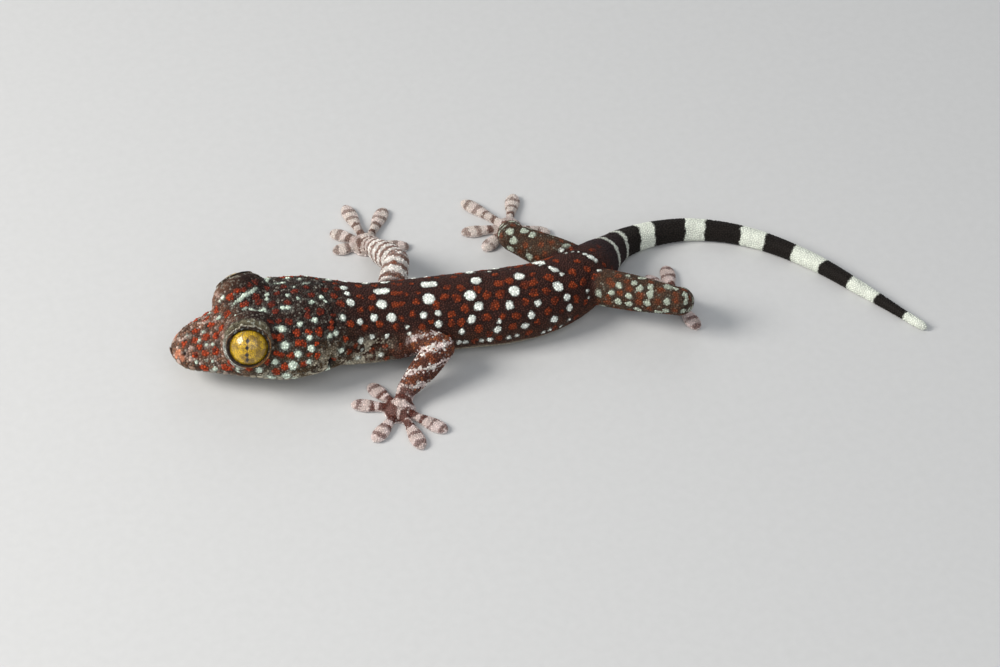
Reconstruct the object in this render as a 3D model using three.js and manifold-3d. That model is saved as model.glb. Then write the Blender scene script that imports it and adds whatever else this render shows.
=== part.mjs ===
// A young tokay gecko at life size, about 100 mm from the tip of the snout to the tip of the tail along its curve.
// It stands as a still museum model: belly and soles on the floor, the far feet reaching out and the tail swung away.
// Millimetres, +Z up. The origin is on the floor under the middle of the torso, and the head points along -X.
// The animal's own left side is -Y. Every length along the body is measured behind the tip of the snout.
import * as THREE from "three";
import { mergeVertices } from "three/addons/utils/BufferGeometryUtils.js";
import Module from "manifold-3d";

const wasm = await Module();
wasm.setup();

// Driving sizes
const GAP = 0.3;
const UP = new THREE.Vector3(0, 0, 1);

// The line of the body on the floor, from the snout to the tip of the tail
const BODY_LINE = [
  [-40.2, 4.8], [-33.0, 3.9], [-26.0, 3.2], [-18.4, 2.8], [-13.0, 2.2], [-6.0, 1.3], [0.0, 0.6], [5.0, 0.9],
  [9.6, 2.8], [13.6, 6.3], [17.5, 8.9], [22.3, 9.8], [27.7, 8.9], [33.3, 5.6], [38.4, 0.0], [42.6, -6.9],
  [47.4, -15.7],
];

// Sections of the body: place behind the snout, half width, height of the back and height of the underside
const SECTIONS = [
  { at: 0.0, half: 2.5, back: 5.5, under: 2.5 },
  { at: 3.0, half: 3.5, back: 6.6, under: 2.2 },
  { at: 6.0, half: 4.8, back: 7.8, under: 1.9 },
  { at: 9.0, half: 6.2, back: 9.0, under: 1.7 },
  { at: 12.5, half: 7.4, back: 9.7, under: 1.5 },
  { at: 15.5, half: 7.3, back: 9.9, under: 1.4 },
  { at: 18.5, half: 6.4, back: 9.5, under: 1.3 },
  { at: 21.5, half: 5.2, back: 8.6, under: 1.2 },
  { at: 24.5, half: 4.7, back: 8.0, under: 0.8 },
  { at: 28.5, half: 4.7, back: 7.9, under: 0.3 },
  { at: 34.0, half: 4.7, back: 7.9, under: -0.2 },
  { at: 41.0, half: 4.7, back: 7.8, under: -0.35 },
  { at: 47.0, half: 4.3, back: 7.3, under: -0.1 },
  { at: 51.5, half: 3.7, back: 6.6, under: 0.2 },
  { at: 55.5, half: 2.7, back: 5.2, under: 0.3 },
  { at: 59.0, half: 1.95, back: 3.9, under: 0.1 },
  { at: 63.0, half: 1.6, back: 3.1, under: -0.1 },
  { at: 70.0, half: 1.35, back: 2.6, under: -0.15 },
  { at: 80.0, half: 1.13, back: 2.15, under: -0.12 },
  { at: 90.0, half: 0.93, back: 1.75, under: -0.1 },
  { at: 100.0, half: 0.58, back: 1.1, under: -0.05 },
];
const WIDEST_AT = 0.42; // share of a section's height at which it is widest
const SNOUT_ROUNDING = 2.4; // length over which the tip of the snout rounds off
const TAIL_ROUNDING = 1.2;

// Where the body is parted, behind the tip of the snout
const HEAD_END = 19.6;
const NECK_END = 25.2;
const TORSO_END = 54.0;
const TAIL_CUTS = [65.5, 77.5, 89.0];

// Head
const EYE = { at: 9.05, aside: 4.4, height: 7.35, radius: 2.65 };
const EYE_LOOKS = { ahead: 0.25, aside: 0.8, up: 0.54 };
const BROW_RADIUS = 3.8;
const BROW_SET_BACK = 1.18; // how far the brow's ball sits behind the eyeball's centre
const LID = { radius: 2.75, thickness: 0.42 };
const MOUTH = { frontHeight: 3.5, corner: 14.2, cornerHeight: 3.9, sag: 0.55 };
const JAW_END = 15.6;
const NOSTRIL = { at: 1.25, aside: 1.75, height: 4.75, radius: 0.34 };
const EAR = { at: 17.6, aside: 6.75, height: 5.0, half: [0.55, 0.8, 1.15] };

// Limbs: the joint inside the body, the elbow or knee, and the wrist or ankle, then the middle of the sole.
// The radii are at the two ends and the middle of each segment.
// A toe is [direction in degrees on the floor, length from the middle of the sole to its tip].
const LIMBS = [
  {
    side: "left", end: "front", names: ["upper_arm", "forearm", "hand"],
    root: [-14.4, 0.6, 3.9], bend: [-10.0, -4.8, 4.3], ankle: [-15.2, -7.7, 1.7],
    sole: [-16.5, -9.5], toes: [[113, 5.5], [151, 5.6], [222, 5.5], [276, 6.5], [311, 6.2]],
  },
  {
    side: "right", end: "front", names: ["upper_arm", "forearm", "hand"],
    root: [-13.8, 4.4, 3.9], bend: [-10.7, 11.4, 4.3], ankle: [-11.9, 17.7, 1.7],
    sole: [-12.2, 19.8], toes: [[178, 3.9], [134, 4.9], [94, 7.9], [56, 7.1], [-22, 5.0]],
  },
  {
    side: "left", end: "hind", names: ["thigh", "shank", "foot"],
    root: [9.8, 1.2, 3.7], bend: [18.7, -6.8, 5.3], ankle: [20.7, -3.4, 1.8],
    sole: [20.5, -1.5], toes: [[80, 6.0], [110, 5.2], [140, 6.0], [168, 6.2], [279, 5.4]],
  },
  {
    side: "right", end: "hind", names: ["thigh", "shank", "foot"],
    root: [11.2, 3.6, 3.6], bend: [3.8, 10.6, 4.9], ankle: [4.9, 15.4, 1.8],
    sole: [5.4, 17.2], toes: [[214, 4.6], [168, 5.6], [119, 7.8], [66, 6.5], [-26, 5.0]],
  },
];
const LIMB_RADII = {
  front: { upper: [1.9, 1.8, 1.6], lower: [1.6, 1.65, 1.15] },
  hind: { upper: [2.3, 2.2, 1.7], lower: [1.7, 1.7, 1.1] },
};
const SOLE = { radius: 1.9, height: 1.55 };
const TOE = { shaft: 0.5, pad: 1.02, height: 1.05, padHeight: 0.78 };
const CLAW = { radius: 0.26, length: 1.0, rise: 0.42 };

// A smooth value of one key of a table at a place along it
function blend(table, key, at) {
  const last = table.length - 1;
  let i = 0;
  while (i < last - 1 && table[i + 1].at < at) i += 1;
  const slope = (k) => {
    const a = table[Math.max(k - 1, 0)];
    const b = table[Math.min(k + 1, last)];
    return (b[key] - a[key]) / (b.at - a.at);
  };
  const a = table[i];
  const b = table[i + 1];
  const run = b.at - a.at;
  const t = THREE.MathUtils.clamp((at - a.at) / run, 0, 1);
  const t2 = t * t;
  const t3 = t2 * t;
  return (
    (2 * t3 - 3 * t2 + 1) * a[key] +
    (t3 - 2 * t2 + t) * run * slope(i) +
    (3 * t2 - 2 * t3) * b[key] +
    (t3 - t2) * run * slope(i + 1)
  );
}

// Cosine and sine of a rounded square: 2 is an ellipse, and more is squarer
function squared(value, squareness) {
  return Math.sign(value) * Math.abs(value) ** (2 / squareness);
}

// Solids and geometries
function solidOf(geometry) {
  const bare = geometry.clone();
  bare.deleteAttribute("normal");
  bare.deleteAttribute("uv");
  const merged = mergeVertices(bare, 1e-4);
  const vertProperties = new Float32Array(merged.getAttribute("position").array);
  const triVerts = new Uint32Array(merged.index.array);
  return new wasm.Manifold(new wasm.Mesh({ numProp: 3, vertProperties, triVerts }));
}

function largest(solid) {
  return solid.decompose().reduce((a, b) => (b.volume() > a.volume() ? b : a));
}

function geometryOf(solid) {
  const mesh = solid.getMesh();
  const geometry = new THREE.BufferGeometry();
  geometry.setAttribute("position", new THREE.BufferAttribute(mesh.vertProperties, 3));
  geometry.setIndex(new THREE.BufferAttribute(mesh.triVerts, 1));
  geometry.computeVertexNormals();
  return geometry;
}

// A closed tube through rings of points, each ring anticlockwise seen from the far end
function loft(rings) {
  const around = rings[0].length;
  const points = rings.flat();
  const faces = [];
  for (let i = 0; i < rings.length - 1; i += 1) {
    for (let j = 0; j < around; j += 1) {
      const a = i * around + j;
      const b = i * around + ((j + 1) % around);
      faces.push(a, b, b + around, a, b + around, a + around);
    }
  }
  const middle = (ring) => ring.reduce((sum, p) => sum.add(p), new THREE.Vector3()).divideScalar(around);
  const first = points.push(middle(rings[0])) - 1;
  const last = points.push(middle(rings.at(-1))) - 1;
  const start = (rings.length - 1) * around;
  for (let j = 0; j < around; j += 1) {
    const k = (j + 1) % around;
    faces.push(first, k, j, last, start + j, start + k);
  }
  const geometry = new THREE.BufferGeometry().setFromPoints(points);
  geometry.setIndex(faces);
  return geometry;
}

// The body's line, and its frame at a place behind the snout
const bodyLine = new THREE.CatmullRomCurve3(BODY_LINE.map(([x, y]) => new THREE.Vector3(x, y, 0)), false, "catmullrom");
bodyLine.arcLengthDivisions = 2000;
const BODY_LENGTH = bodyLine.getLength();

function bodyFrame(at) {
  const u = THREE.MathUtils.clamp(at / BODY_LENGTH, 0, 1);
  const tailward = bodyLine.getTangentAt(u);
  return { point: bodyLine.getPointAt(u), tailward, left: new THREE.Vector3(tailward.y, -tailward.x, 0) };
}

// How far the section has opened out behind the rounded snout, or before the tip of the tail
function rounding(at) {
  const open = (run, length) => Math.sqrt(Math.max(1 - (1 - Math.min(run / length, 1)) ** 2, 0.01));
  return open(at, SNOUT_ROUNDING) * open(BODY_LENGTH - at, TAIL_ROUNDING);
}

// One ring of the body: swell adds to it all round, for a cutter that leaves a gap
function bodyRing(at, around, swell = 0) {
  const { point, left } = bodyFrame(at);
  const open = rounding(at);
  const back = blend(SECTIONS, "back", at);
  const under = blend(SECTIONS, "under", at);
  const widest = under + WIDEST_AT * (back - under);
  const half = blend(SECTIONS, "half", at) * open + swell;
  const isHead = THREE.MathUtils.smoothstep(at, 26, 16);
  const taper = 0.1 * isHead;
  const ring = [];
  for (let j = 0; j < around; j += 1) {
    const turn = (2 * Math.PI * j) / around;
    const up = squared(Math.sin(turn), 2.25);
    const aside = squared(Math.cos(turn), 2.25) * (1 - taper * Math.max(up, 0));
    const reach = (up > 0 ? back - widest : widest - under) * open + swell;
    const floor = swell > 0 ? -swell : 0;
    const height = Math.max(widest + up * reach, floor);
    ring.push(point.clone().addScaledVector(left, -aside * half).setZ(height));
  }
  return ring;
}

// The places of the rings from one cut to another, closer together at the rounded snout
function places(from, to, step) {
  const count = Math.max(2, Math.round((to - from) / step));
  const list = Array.from({ length: count + 1 }, (_, i) => from + ((to - from) * i) / count);
  return from > 0 ? list : [0.03, 0.22, 0.6, 1.1, ...list.slice(1).filter((s) => s > 1.5)];
}

function bodyPiece(from, to, step, around, swell = 0) {
  return solidOf(loft(places(from, to, step).map((at) => bodyRing(at, around, swell))));
}

// Head
function headPoint(at, aside, height) {
  const { point, left } = bodyFrame(at);
  return point.addScaledVector(left, aside).setZ(height);
}

function eyeFrame(side) {
  const { tailward, left } = bodyFrame(EYE.at);
  const outward = new THREE.Vector3()
    .addScaledVector(tailward, -EYE_LOOKS.ahead)
    .addScaledVector(left, side * EYE_LOOKS.aside)
    .addScaledVector(UP, EYE_LOOKS.up)
    .normalize();
  return { centre: headPoint(EYE.at, side * EYE.aside, EYE.height), outward };
}

function ball(centre, radius, across = 16, down = 10) {
  return new THREE.SphereGeometry(radius, across, down).rotateX(Math.PI / 2).translate(centre.x, centre.y, centre.z);
}

function lidRing(side) {
  const { centre, outward } = eyeFrame(side);
  const rim = new THREE.TorusGeometry(LID.radius, LID.thickness, 6, 20);
  rim.applyQuaternion(new THREE.Quaternion().setFromUnitVectors(UP, outward));
  const out = Math.sqrt(EYE.radius ** 2 - (EYE.radius - 0.25) ** 2);
  return rim.translate(...centre.addScaledVector(outward, out + 0.35).toArray());
}

function pit(at, aside, height, half) {
  const { tailward } = bodyFrame(at);
  const hole = new THREE.SphereGeometry(1, 10, 6).scale(...half).rotateZ(Math.atan2(tailward.y, tailward.x));
  return hole.translate(...headPoint(at, aside, height).toArray());
}

// The side view of what lies below the line of the mouth, as an outline of place and height
function jawOutline(grow) {
  const shape = new THREE.Shape();
  const front = -3;
  const bottom = -2;
  const corner = MOUTH.corner + grow;
  shape.moveTo(front, bottom);
  shape.lineTo(JAW_END + grow, bottom);
  shape.lineTo(JAW_END + grow, MOUTH.cornerHeight - 1.6);
  shape.lineTo(corner, MOUTH.cornerHeight + grow);
  shape.quadraticCurveTo(MOUTH.corner / 2, MOUTH.cornerHeight - 2 * MOUTH.sag + grow, 0, MOUTH.frontHeight + grow);
  shape.lineTo(front, MOUTH.frontHeight + grow);
  return shape;
}

function jawRegion(grow) {
  const wide = 24;
  const { point } = bodyFrame(0);
  const { point: behind } = bodyFrame(JAW_END);
  const block = new THREE.ExtrudeGeometry(jawOutline(grow), { depth: wide, bevelEnabled: false, curveSegments: 10 });
  block.translate(0, 0, -wide / 2).rotateX(Math.PI / 2);
  block.rotateZ(Math.atan2(behind.y - point.y, behind.x - point.x));
  return solidOf(block.translate(point.x, point.y, 0));
}

function headParts() {
  let skull = bodyPiece(0, HEAD_END, 1.6, 26);
  for (const side of [1, -1]) {
    const { centre, outward } = eyeFrame(side);
    const browCentre = centre.clone().addScaledVector(outward, -BROW_SET_BACK);
    skull = skull.add(solidOf(ball(browCentre, BROW_RADIUS))).add(solidOf(lidRing(side)));
  }
  for (const side of [1, -1]) {
    const { centre } = eyeFrame(side);
    skull = skull.subtract(solidOf(ball(centre, EYE.radius + GAP)));
    skull = skull.subtract(solidOf(pit(NOSTRIL.at, side * NOSTRIL.aside, NOSTRIL.height, [NOSTRIL.radius * 1.3, 0.6, NOSTRIL.radius])));
    skull = skull.subtract(solidOf(pit(EAR.at, side * EAR.aside, EAR.height, EAR.half)));
  }
  return { head: largest(skull.subtract(jawRegion(GAP))), lower_jaw: largest(skull.intersect(jawRegion(0))) };
}

// Limbs
// A round limb segment from one joint to the next, rounded at both ends
function segment(from, to, radii, swell = 0) {
  const start = new THREE.Vector3(...from);
  const run = new THREE.Vector3(...to).sub(start);
  const length = run.length();
  const table = radii.map((radius, i) => ({ at: i / 2, radius: radius + swell }));
  const end = radii[2] + swell;
  const profile = [];
  for (const degrees of [90, 60, 30]) {
    const turn = THREE.MathUtils.degToRad(degrees);
    profile.push(new THREE.Vector2(table[0].radius * Math.cos(turn), -table[0].radius * Math.sin(turn)));
  }
  for (const t of [0, 0.33, 0.67, 1]) profile.push(new THREE.Vector2(blend(table, "radius", t), t * length));
  for (const degrees of [30, 60, 90]) {
    const turn = THREE.MathUtils.degToRad(degrees);
    profile.push(new THREE.Vector2(end * Math.cos(turn), length + end * Math.sin(turn)));
  }
  const round = new THREE.LatheGeometry(profile, 12);
  round.applyQuaternion(new THREE.Quaternion().setFromUnitVectors(new THREE.Vector3(0, 1, 0), run.normalize()));
  const position = round.translate(...from).getAttribute("position");
  for (let i = 0; i < position.count; i += 1) position.setZ(i, Math.max(position.getZ(i), -swell));
  return solidOf(round);
}

// A flat-soled toe that widens to its pad and narrows to the claw
function toe([x, y], [degrees, length]) {
  const turn = THREE.MathUtils.degToRad(degrees);
  const along = new THREE.Vector3(Math.cos(turn), Math.sin(turn), 0);
  const aside = new THREE.Vector3(-along.y, along.x, 0);
  const outline = [
    { at: 0.0, half: TOE.shaft, top: TOE.height },
    { at: 0.36, half: TOE.shaft, top: TOE.height },
    { at: 0.55, half: TOE.shaft * 1.4, top: TOE.height * 0.9 },
    { at: 0.76, half: TOE.pad, top: TOE.padHeight },
    { at: 0.9, half: TOE.pad * 0.8, top: TOE.padHeight * 0.95 },
    { at: 0.97, half: TOE.pad * 0.5, top: TOE.padHeight * 0.85 },
    { at: 1.0, half: TOE.pad * 0.16, top: TOE.padHeight * 0.7 },
  ];
  const around = 8;
  const rings = [0, 0.36, 0.5, 0.62, 0.76, 0.88, 0.96, 1].map((t) => {
    const half = blend(outline, "half", t);
    const top = blend(outline, "top", t);
    return Array.from({ length: around }, (_, j) => {
      const angle = (2 * Math.PI * (j + 0.5)) / around;
      const up = squared(Math.sin(angle), 2.6);
      const p = new THREE.Vector3(x, y, 0).addScaledVector(along, t * length);
      p.addScaledVector(aside, squared(Math.cos(angle), 2.6) * half);
      return p.setZ(up > 0 ? top * (0.4 + 0.6 * up) : 0);
    });
  });
  return solidOf(loft(rings));
}

function claw([x, y], [degrees, length]) {
  const turn = THREE.MathUtils.degToRad(degrees);
  const cone = new THREE.ConeGeometry(CLAW.radius, CLAW.length, 6).rotateZ(-Math.PI / 2).rotateY(0.22);
  cone.translate(length - 0.3 + CLAW.length / 2, 0, CLAW.rise).rotateZ(turn);
  return solidOf(cone.translate(x, y, 0));
}

function sole([x, y]) {
  const dome = new THREE.SphereGeometry(1, 14, 6).rotateX(Math.PI / 2).scale(SOLE.radius, SOLE.radius, SOLE.height);
  const position = dome.getAttribute("position");
  for (let i = 0; i < position.count; i += 1) position.setZ(i, Math.max(position.getZ(i), 0));
  return solidOf(dome.translate(x, y, 0));
}

function limbParts(limb, bodyCutter) {
  const radii = LIMB_RADII[limb.end];
  const upper = segment(limb.root, limb.bend, radii.upper).subtract(bodyCutter);
  const whole = segment(limb.bend, limb.ankle, radii.lower);
  const lower = whole.subtract(segment(limb.root, limb.bend, radii.upper, GAP)).subtract(bodyCutter);
  let foot = limb.toes.reduce((made, t) => made.add(toe(limb.sole, t)).add(claw(limb.sole, t)), sole(limb.sole));
  foot = foot.subtract(segment(limb.bend, limb.ankle, radii.lower, GAP));
  return [upper, lower, foot].map(largest);
}

// Materials, as seen in the photo
const PLUM = new THREE.MeshStandardMaterial({ color: 0x46353b, roughness: 0.62, metalness: 0 });
const SLATE = new THREE.MeshStandardMaterial({ color: 0x5d625f, roughness: 0.6, metalness: 0 });
const LILAC = new THREE.MeshStandardMaterial({ color: 0x93858a, roughness: 0.6, metalness: 0 });
const BLACK = new THREE.MeshStandardMaterial({ color: 0x231f22, roughness: 0.55, metalness: 0 });
const GOLD = new THREE.MeshStandardMaterial({ color: 0xc09a2c, roughness: 0.12, metalness: 0 });

// The whole animal
const gecko = new THREE.Group();

function addNode(name, solid, material) {
  const mesh = new THREE.Mesh(geometryOf(solid), material);
  mesh.name = name;
  gecko.add(mesh);
}

const { head, lower_jaw: lowerJaw } = headParts();
addNode("head", head, SLATE);
addNode("lower_jaw", lowerJaw, SLATE);
for (const [name, side] of [["eye_left", 1], ["eye_right", -1]]) {
  addNode(name, solidOf(ball(eyeFrame(side).centre, EYE.radius)), GOLD);
}

addNode("neck", bodyPiece(HEAD_END + GAP, NECK_END, 1.5, 24), PLUM);
addNode("torso", bodyPiece(NECK_END + GAP, TORSO_END, 2, 24), PLUM);

const tailNames = ["tail_base", "tail_middle", "tail_rear", "tail_tip"];
const tailEnds = [TORSO_END, ...TAIL_CUTS, BODY_LENGTH - 0.03];
tailNames.forEach((name, i) => {
  addNode(name, bodyPiece(tailEnds[i] + GAP, tailEnds[i + 1], 1.7, 14), BLACK);
});

const bodyCutter = bodyPiece(NECK_END - 4, TORSO_END + 6, 2, 24, GAP);
for (const limb of LIMBS) {
  limbParts(limb, bodyCutter).forEach((solid, i) => {
    addNode(`${limb.side}_${limb.end}_${limb.names[i]}`, solid, i < 2 ? PLUM : LILAC);
  });
}

export default gecko;
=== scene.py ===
"""The looks of a young gecko: one skin over the solids, with its scales, lids, eyes and claws.

Shapes are worked out in millimetres in the frame's axes and become metres where each mesh is made.
"""

import math

import bpy
import numpy as np
from mathutils import Matrix, Vector
from mathutils.bvhtree import BVHTree
from mathutils.kdtree import KDTree


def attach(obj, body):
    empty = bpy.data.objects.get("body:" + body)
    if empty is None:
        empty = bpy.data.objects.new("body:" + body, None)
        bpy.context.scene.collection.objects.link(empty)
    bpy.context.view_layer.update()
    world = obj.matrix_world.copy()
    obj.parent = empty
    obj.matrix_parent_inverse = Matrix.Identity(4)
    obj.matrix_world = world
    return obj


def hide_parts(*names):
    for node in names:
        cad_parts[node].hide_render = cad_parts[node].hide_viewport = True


MM = 0.001
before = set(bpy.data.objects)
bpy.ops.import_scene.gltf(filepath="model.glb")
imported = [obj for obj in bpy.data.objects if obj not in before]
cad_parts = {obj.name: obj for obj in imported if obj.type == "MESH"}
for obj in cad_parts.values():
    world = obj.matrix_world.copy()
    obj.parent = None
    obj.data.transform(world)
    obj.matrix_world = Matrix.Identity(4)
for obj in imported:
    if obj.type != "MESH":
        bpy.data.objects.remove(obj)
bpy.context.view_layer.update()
rng = np.random.default_rng(11)

# The body's line and sections, as in the solids
BODY_LINE = [
    (-40.2, 4.8), (-33.0, 3.9), (-26.0, 3.2), (-18.4, 2.8), (-13.0, 2.2), (-6.0, 1.3), (0.0, 0.6), (5.0, 0.9),
    (9.6, 2.8), (13.6, 6.3), (17.5, 8.9), (22.3, 9.8), (27.7, 8.9), (33.3, 5.6), (38.4, 0.0), (42.6, -6.9),
    (47.4, -15.7),
]
# Place behind the snout, half width, height of the back, height of the underside
SECTIONS = [
    (0.0, 2.5, 5.5, 2.5), (3.0, 3.5, 6.6, 2.2), (6.0, 4.8, 7.8, 1.9), (9.0, 6.2, 9.0, 1.7),
    (12.5, 7.4, 9.7, 1.5), (15.5, 7.3, 9.9, 1.4), (18.5, 6.4, 9.5, 1.3), (21.5, 5.2, 8.6, 1.2),
    (24.5, 4.7, 8.0, 0.8), (28.5, 4.7, 7.9, 0.3), (34.0, 4.7, 7.9, -0.2), (41.0, 4.7, 7.8, -0.35),
    (47.0, 4.3, 7.3, -0.1), (51.5, 3.7, 6.6, 0.2), (55.5, 2.7, 5.2, 0.3), (59.0, 1.95, 3.9, 0.1),
    (63.0, 1.6, 3.1, -0.1), (70.0, 1.35, 2.6, -0.15), (80.0, 1.13, 2.15, -0.12), (90.0, 0.93, 1.75, -0.1),
    (100.0, 0.58, 1.1, -0.05),
]
WIDEST_AT = 0.42
SQUARENESS = 2.25
SNOUT_ROUNDING = 2.4
TAIL_ROUNDING = 1.2
HALF, BACK, UNDER = 1, 2, 3

HEAD_TAPER = 0.1

EYE_AT, EYE_ASIDE, EYE_HEIGHT, EYE_RADIUS = 9.05, 4.4, 7.35, 2.65
EYE_LOOKS = (0.25, 0.8, 0.54)
BROW_RADIUS, BROW_SET_BACK = 3.8, 1.18
APERTURE = (2.42, 2.16)
# The far eye's lids are a little more closed
FAR_OPENING = 0.86
TEMPLE_AT, TEMPLE_ASIDE, TEMPLE_HEIGHT, TEMPLE_RADII = 13.0, 3.6, 6.95, (2.6, 2.5, 2.4)

# Loose skin from the jaw to the shoulder: its middle behind the snout, half length and height, and for the
# left side and the right how far out it lies and how thick it is
FOLD_AT, FOLD_REACH, FOLD_HEIGHT = 24.5, 8.0, 2.9
FOLD = {1: (3.7, 1.8), -1: (3.4, 1.7)}

MOUTH_FRONT, MOUTH_SAG, MOUTH_CORNER_HEIGHT, MOUTH_CORNER = 3.5, 0.55, 3.9, 14.2

# Limbs: joints in order, the middle of the sole, and each toe's direction in degrees and length
LIMBS = {
    "left_front": ([(-14.4, 0.6, 3.9), (-10.0, -4.8, 4.3), (-15.2, -7.7, 1.7)], (-16.5, -9.5),
                   [(113, 5.5), (151, 5.6), (222, 5.5), (276, 6.5), (311, 6.2)]),
    "right_front": ([(-13.8, 4.4, 3.9), (-10.7, 11.4, 4.3), (-11.9, 17.7, 1.7)], (-12.2, 19.8),
                    [(178, 3.9), (134, 4.9), (94, 7.9), (56, 7.1), (-22, 5.0)]),
    "left_hind": ([(9.8, 1.2, 3.7), (18.7, -6.8, 5.3), (20.7, -3.4, 1.8)], (20.5, -1.5),
                  [(80, 6.0), (110, 5.2), (140, 6.0), (168, 6.2), (279, 5.4)]),
    "right_hind": ([(11.2, 3.6, 3.6), (3.8, 10.6, 4.9), (4.9, 15.4, 1.8)], (5.4, 17.2),
                   [(214, 4.6), (168, 5.6), (119, 7.8), (66, 6.5), (-26, 5.0)]),
}
# Radii of a limb's upper and lower part, at the start, the middle and the end
LIMB_RADII = {"front": ((1.9, 1.8, 1.6), (1.6, 1.65, 1.15)), "hind": ((2.3, 2.2, 1.7), (1.7, 1.7, 1.1))}
SOLE_RADIUS, SOLE_HEIGHT = 1.9, 1.5
# Share of a toe's length, half width, height
TOE = [
    (0.0, 0.55, 1.05), (0.36, 0.52, 1.0), (0.55, 0.72, 0.92), (0.76, 1.0, 0.78), (0.9, 0.84, 0.72),
    (1.0, 0.3, 0.5),
]

# The camera that sees the animal as the photograph does, and how long a pixel is at the animal
AZIMUTH, ELEVATION = math.radians(-18), math.radians(43)
DISTANCE, LENS, SENSOR = 333.0, 100.0, 36.0
WIDTH, HEIGHT = 1000, 667
ORIGIN_PIXEL = (510.0, 330.0)
PIXEL = DISTANCE / (LENS / SENSOR * WIDTH)
cam_level = math.cos(ELEVATION)
cam_back = np.array([math.sin(AZIMUTH) * cam_level, -math.cos(AZIMUTH) * cam_level, math.sin(ELEVATION)])
cam_right = np.array([math.cos(AZIMUTH), math.sin(AZIMUTH), 0])
cam_up = np.cross(cam_back, cam_right)
cam_place = (
    cam_back * DISTANCE
    - cam_right * (ORIGIN_PIXEL[0] - WIDTH / 2) * PIXEL
    + cam_up * (ORIGIN_PIXEL[1] - HEIGHT / 2) * PIXEL
)

# Markings seen in the photograph, placed on the solids: place behind the snout, degrees round from the middle
# of the back to the left side, radius
PALE_HEAD = [
    (2.1, 2, 0.22), (2.8, 73, 0.26), (3.4, 25, 0.22), (3.9, 71, 0.24), (4.0, 9, 0.22), (4.1, 37, 0.25),
    (4.6, 72, 0.29), (4.7, 99, 0.36), (4.9, 38, 0.24), (5.8, 101, 0.19), (6.0, -7, 0.34), (6.4, -21, 0.24),
    (6.8, -19, 0.29), (7.2, 75, 0.31), (7.9, 9, 0.26), (9.5, 77, 0.38), (10.7, 106, 0.43), (11.4, 72, 0.48),
    (11.9, -12, 0.29), (12.1, 32, 0.26), (11.8, -5, 0.26), (12.5, 99, 0.43), (12.7, 34, 0.48),
    (12.7, 53, 0.58), (13.3, 11, 0.36), (13.9, 12, 0.36), (13.3, 80, 0.58), (14.0, 66, 0.48),
    (14.2, -4, 0.28), (14.8, 33, 0.41), (15.0, 80, 0.34), (15.3, -15, 0.24), (15.3, 3, 0.24),
    (15.5, 50, 0.4), (15.5, 63, 0.48), (16.5, 32, 0.38), (16.7, 11, 0.34), (17.2, 102, 0.31),
    (17.8, 54, 0.36), (18.0, 5, 0.4), (18.4, 11, 0.29), (18.6, 53, 0.41), (19.0, 79, 0.48),
]
PALE_BODY = [
    (19.9, 35, 0.48), (21.1, -15, 0.5), (21.2, -3, 0.46), (21.3, 14, 0.56), (21.7, 73, 0.4),
    (21.8, 90, 0.24), (21.9, 44, 0.5), (23.2, 69, 0.36), (23.8, 40, 0.5), (24.1, 100, 0.36),
    (25.0, -8, 0.64), (25.7, -8, 0.64), (25.0, 19, 0.7), (25.1, 70, 0.36), (25.9, 42, 0.6),
    (27.6, 58, 0.31), (27.7, 67, 0.3), (29.7, 43, 0.52), (30.6, -11, 0.64), (31.4, -10, 0.64),
    (30.6, 19, 0.79), (31.3, 59, 0.48), (31.4, 43, 0.43), (33.6, 95, 0.35), (34.4, 97, 0.37),
    (35.3, 57, 0.56), (35.5, 21, 0.74), (36.3, 40, 0.6), (36.6, -6, 0.72), (34.0, 74, 0.42),
    (36.4, 97, 0.37), (37.3, 97, 0.37), (38.2, 77, 0.5), (38.5, 64, 0.31), (39.7, 44, 0.58),
    (39.4, 97, 0.4), (40.2, 96, 0.36), (40.6, 24, 0.72), (41.1, 79, 0.5), (41.8, -2, 0.7), (41.9, 63, 0.52),
    (42.8, 48, 0.46), (43.1, 105, 0.34), (43.8, 103, 0.3), (44.2, 81, 0.5), (45.4, 33, 0.7),
    (45.0, 107, 0.26), (45.8, 96, 0.31), (45.9, 53, 0.5), (45.9, 71, 0.48), (46.1, -7, 0.34),
    (46.2, 1, 0.36), (46.4, 4, 0.41), (46.6, 16, 0.38), (45.8, -22, 0.31), (45.2, -19, 0.26),
    (48.3, 60, 0.29), (48.3, 72, 0.24), (50.6, 43, 0.38), (50.7, 53, 0.36), (50.8, 64, 0.31),
    (51.5, 1, 0.38), (51.5, 14, 0.46), (51.5, 27, 0.41), (51.4, -12, 0.22), (51.1, -22, 0.22),
    (50.2, -28, 0.22), (52.6, 82, 0.34),
]
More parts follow.
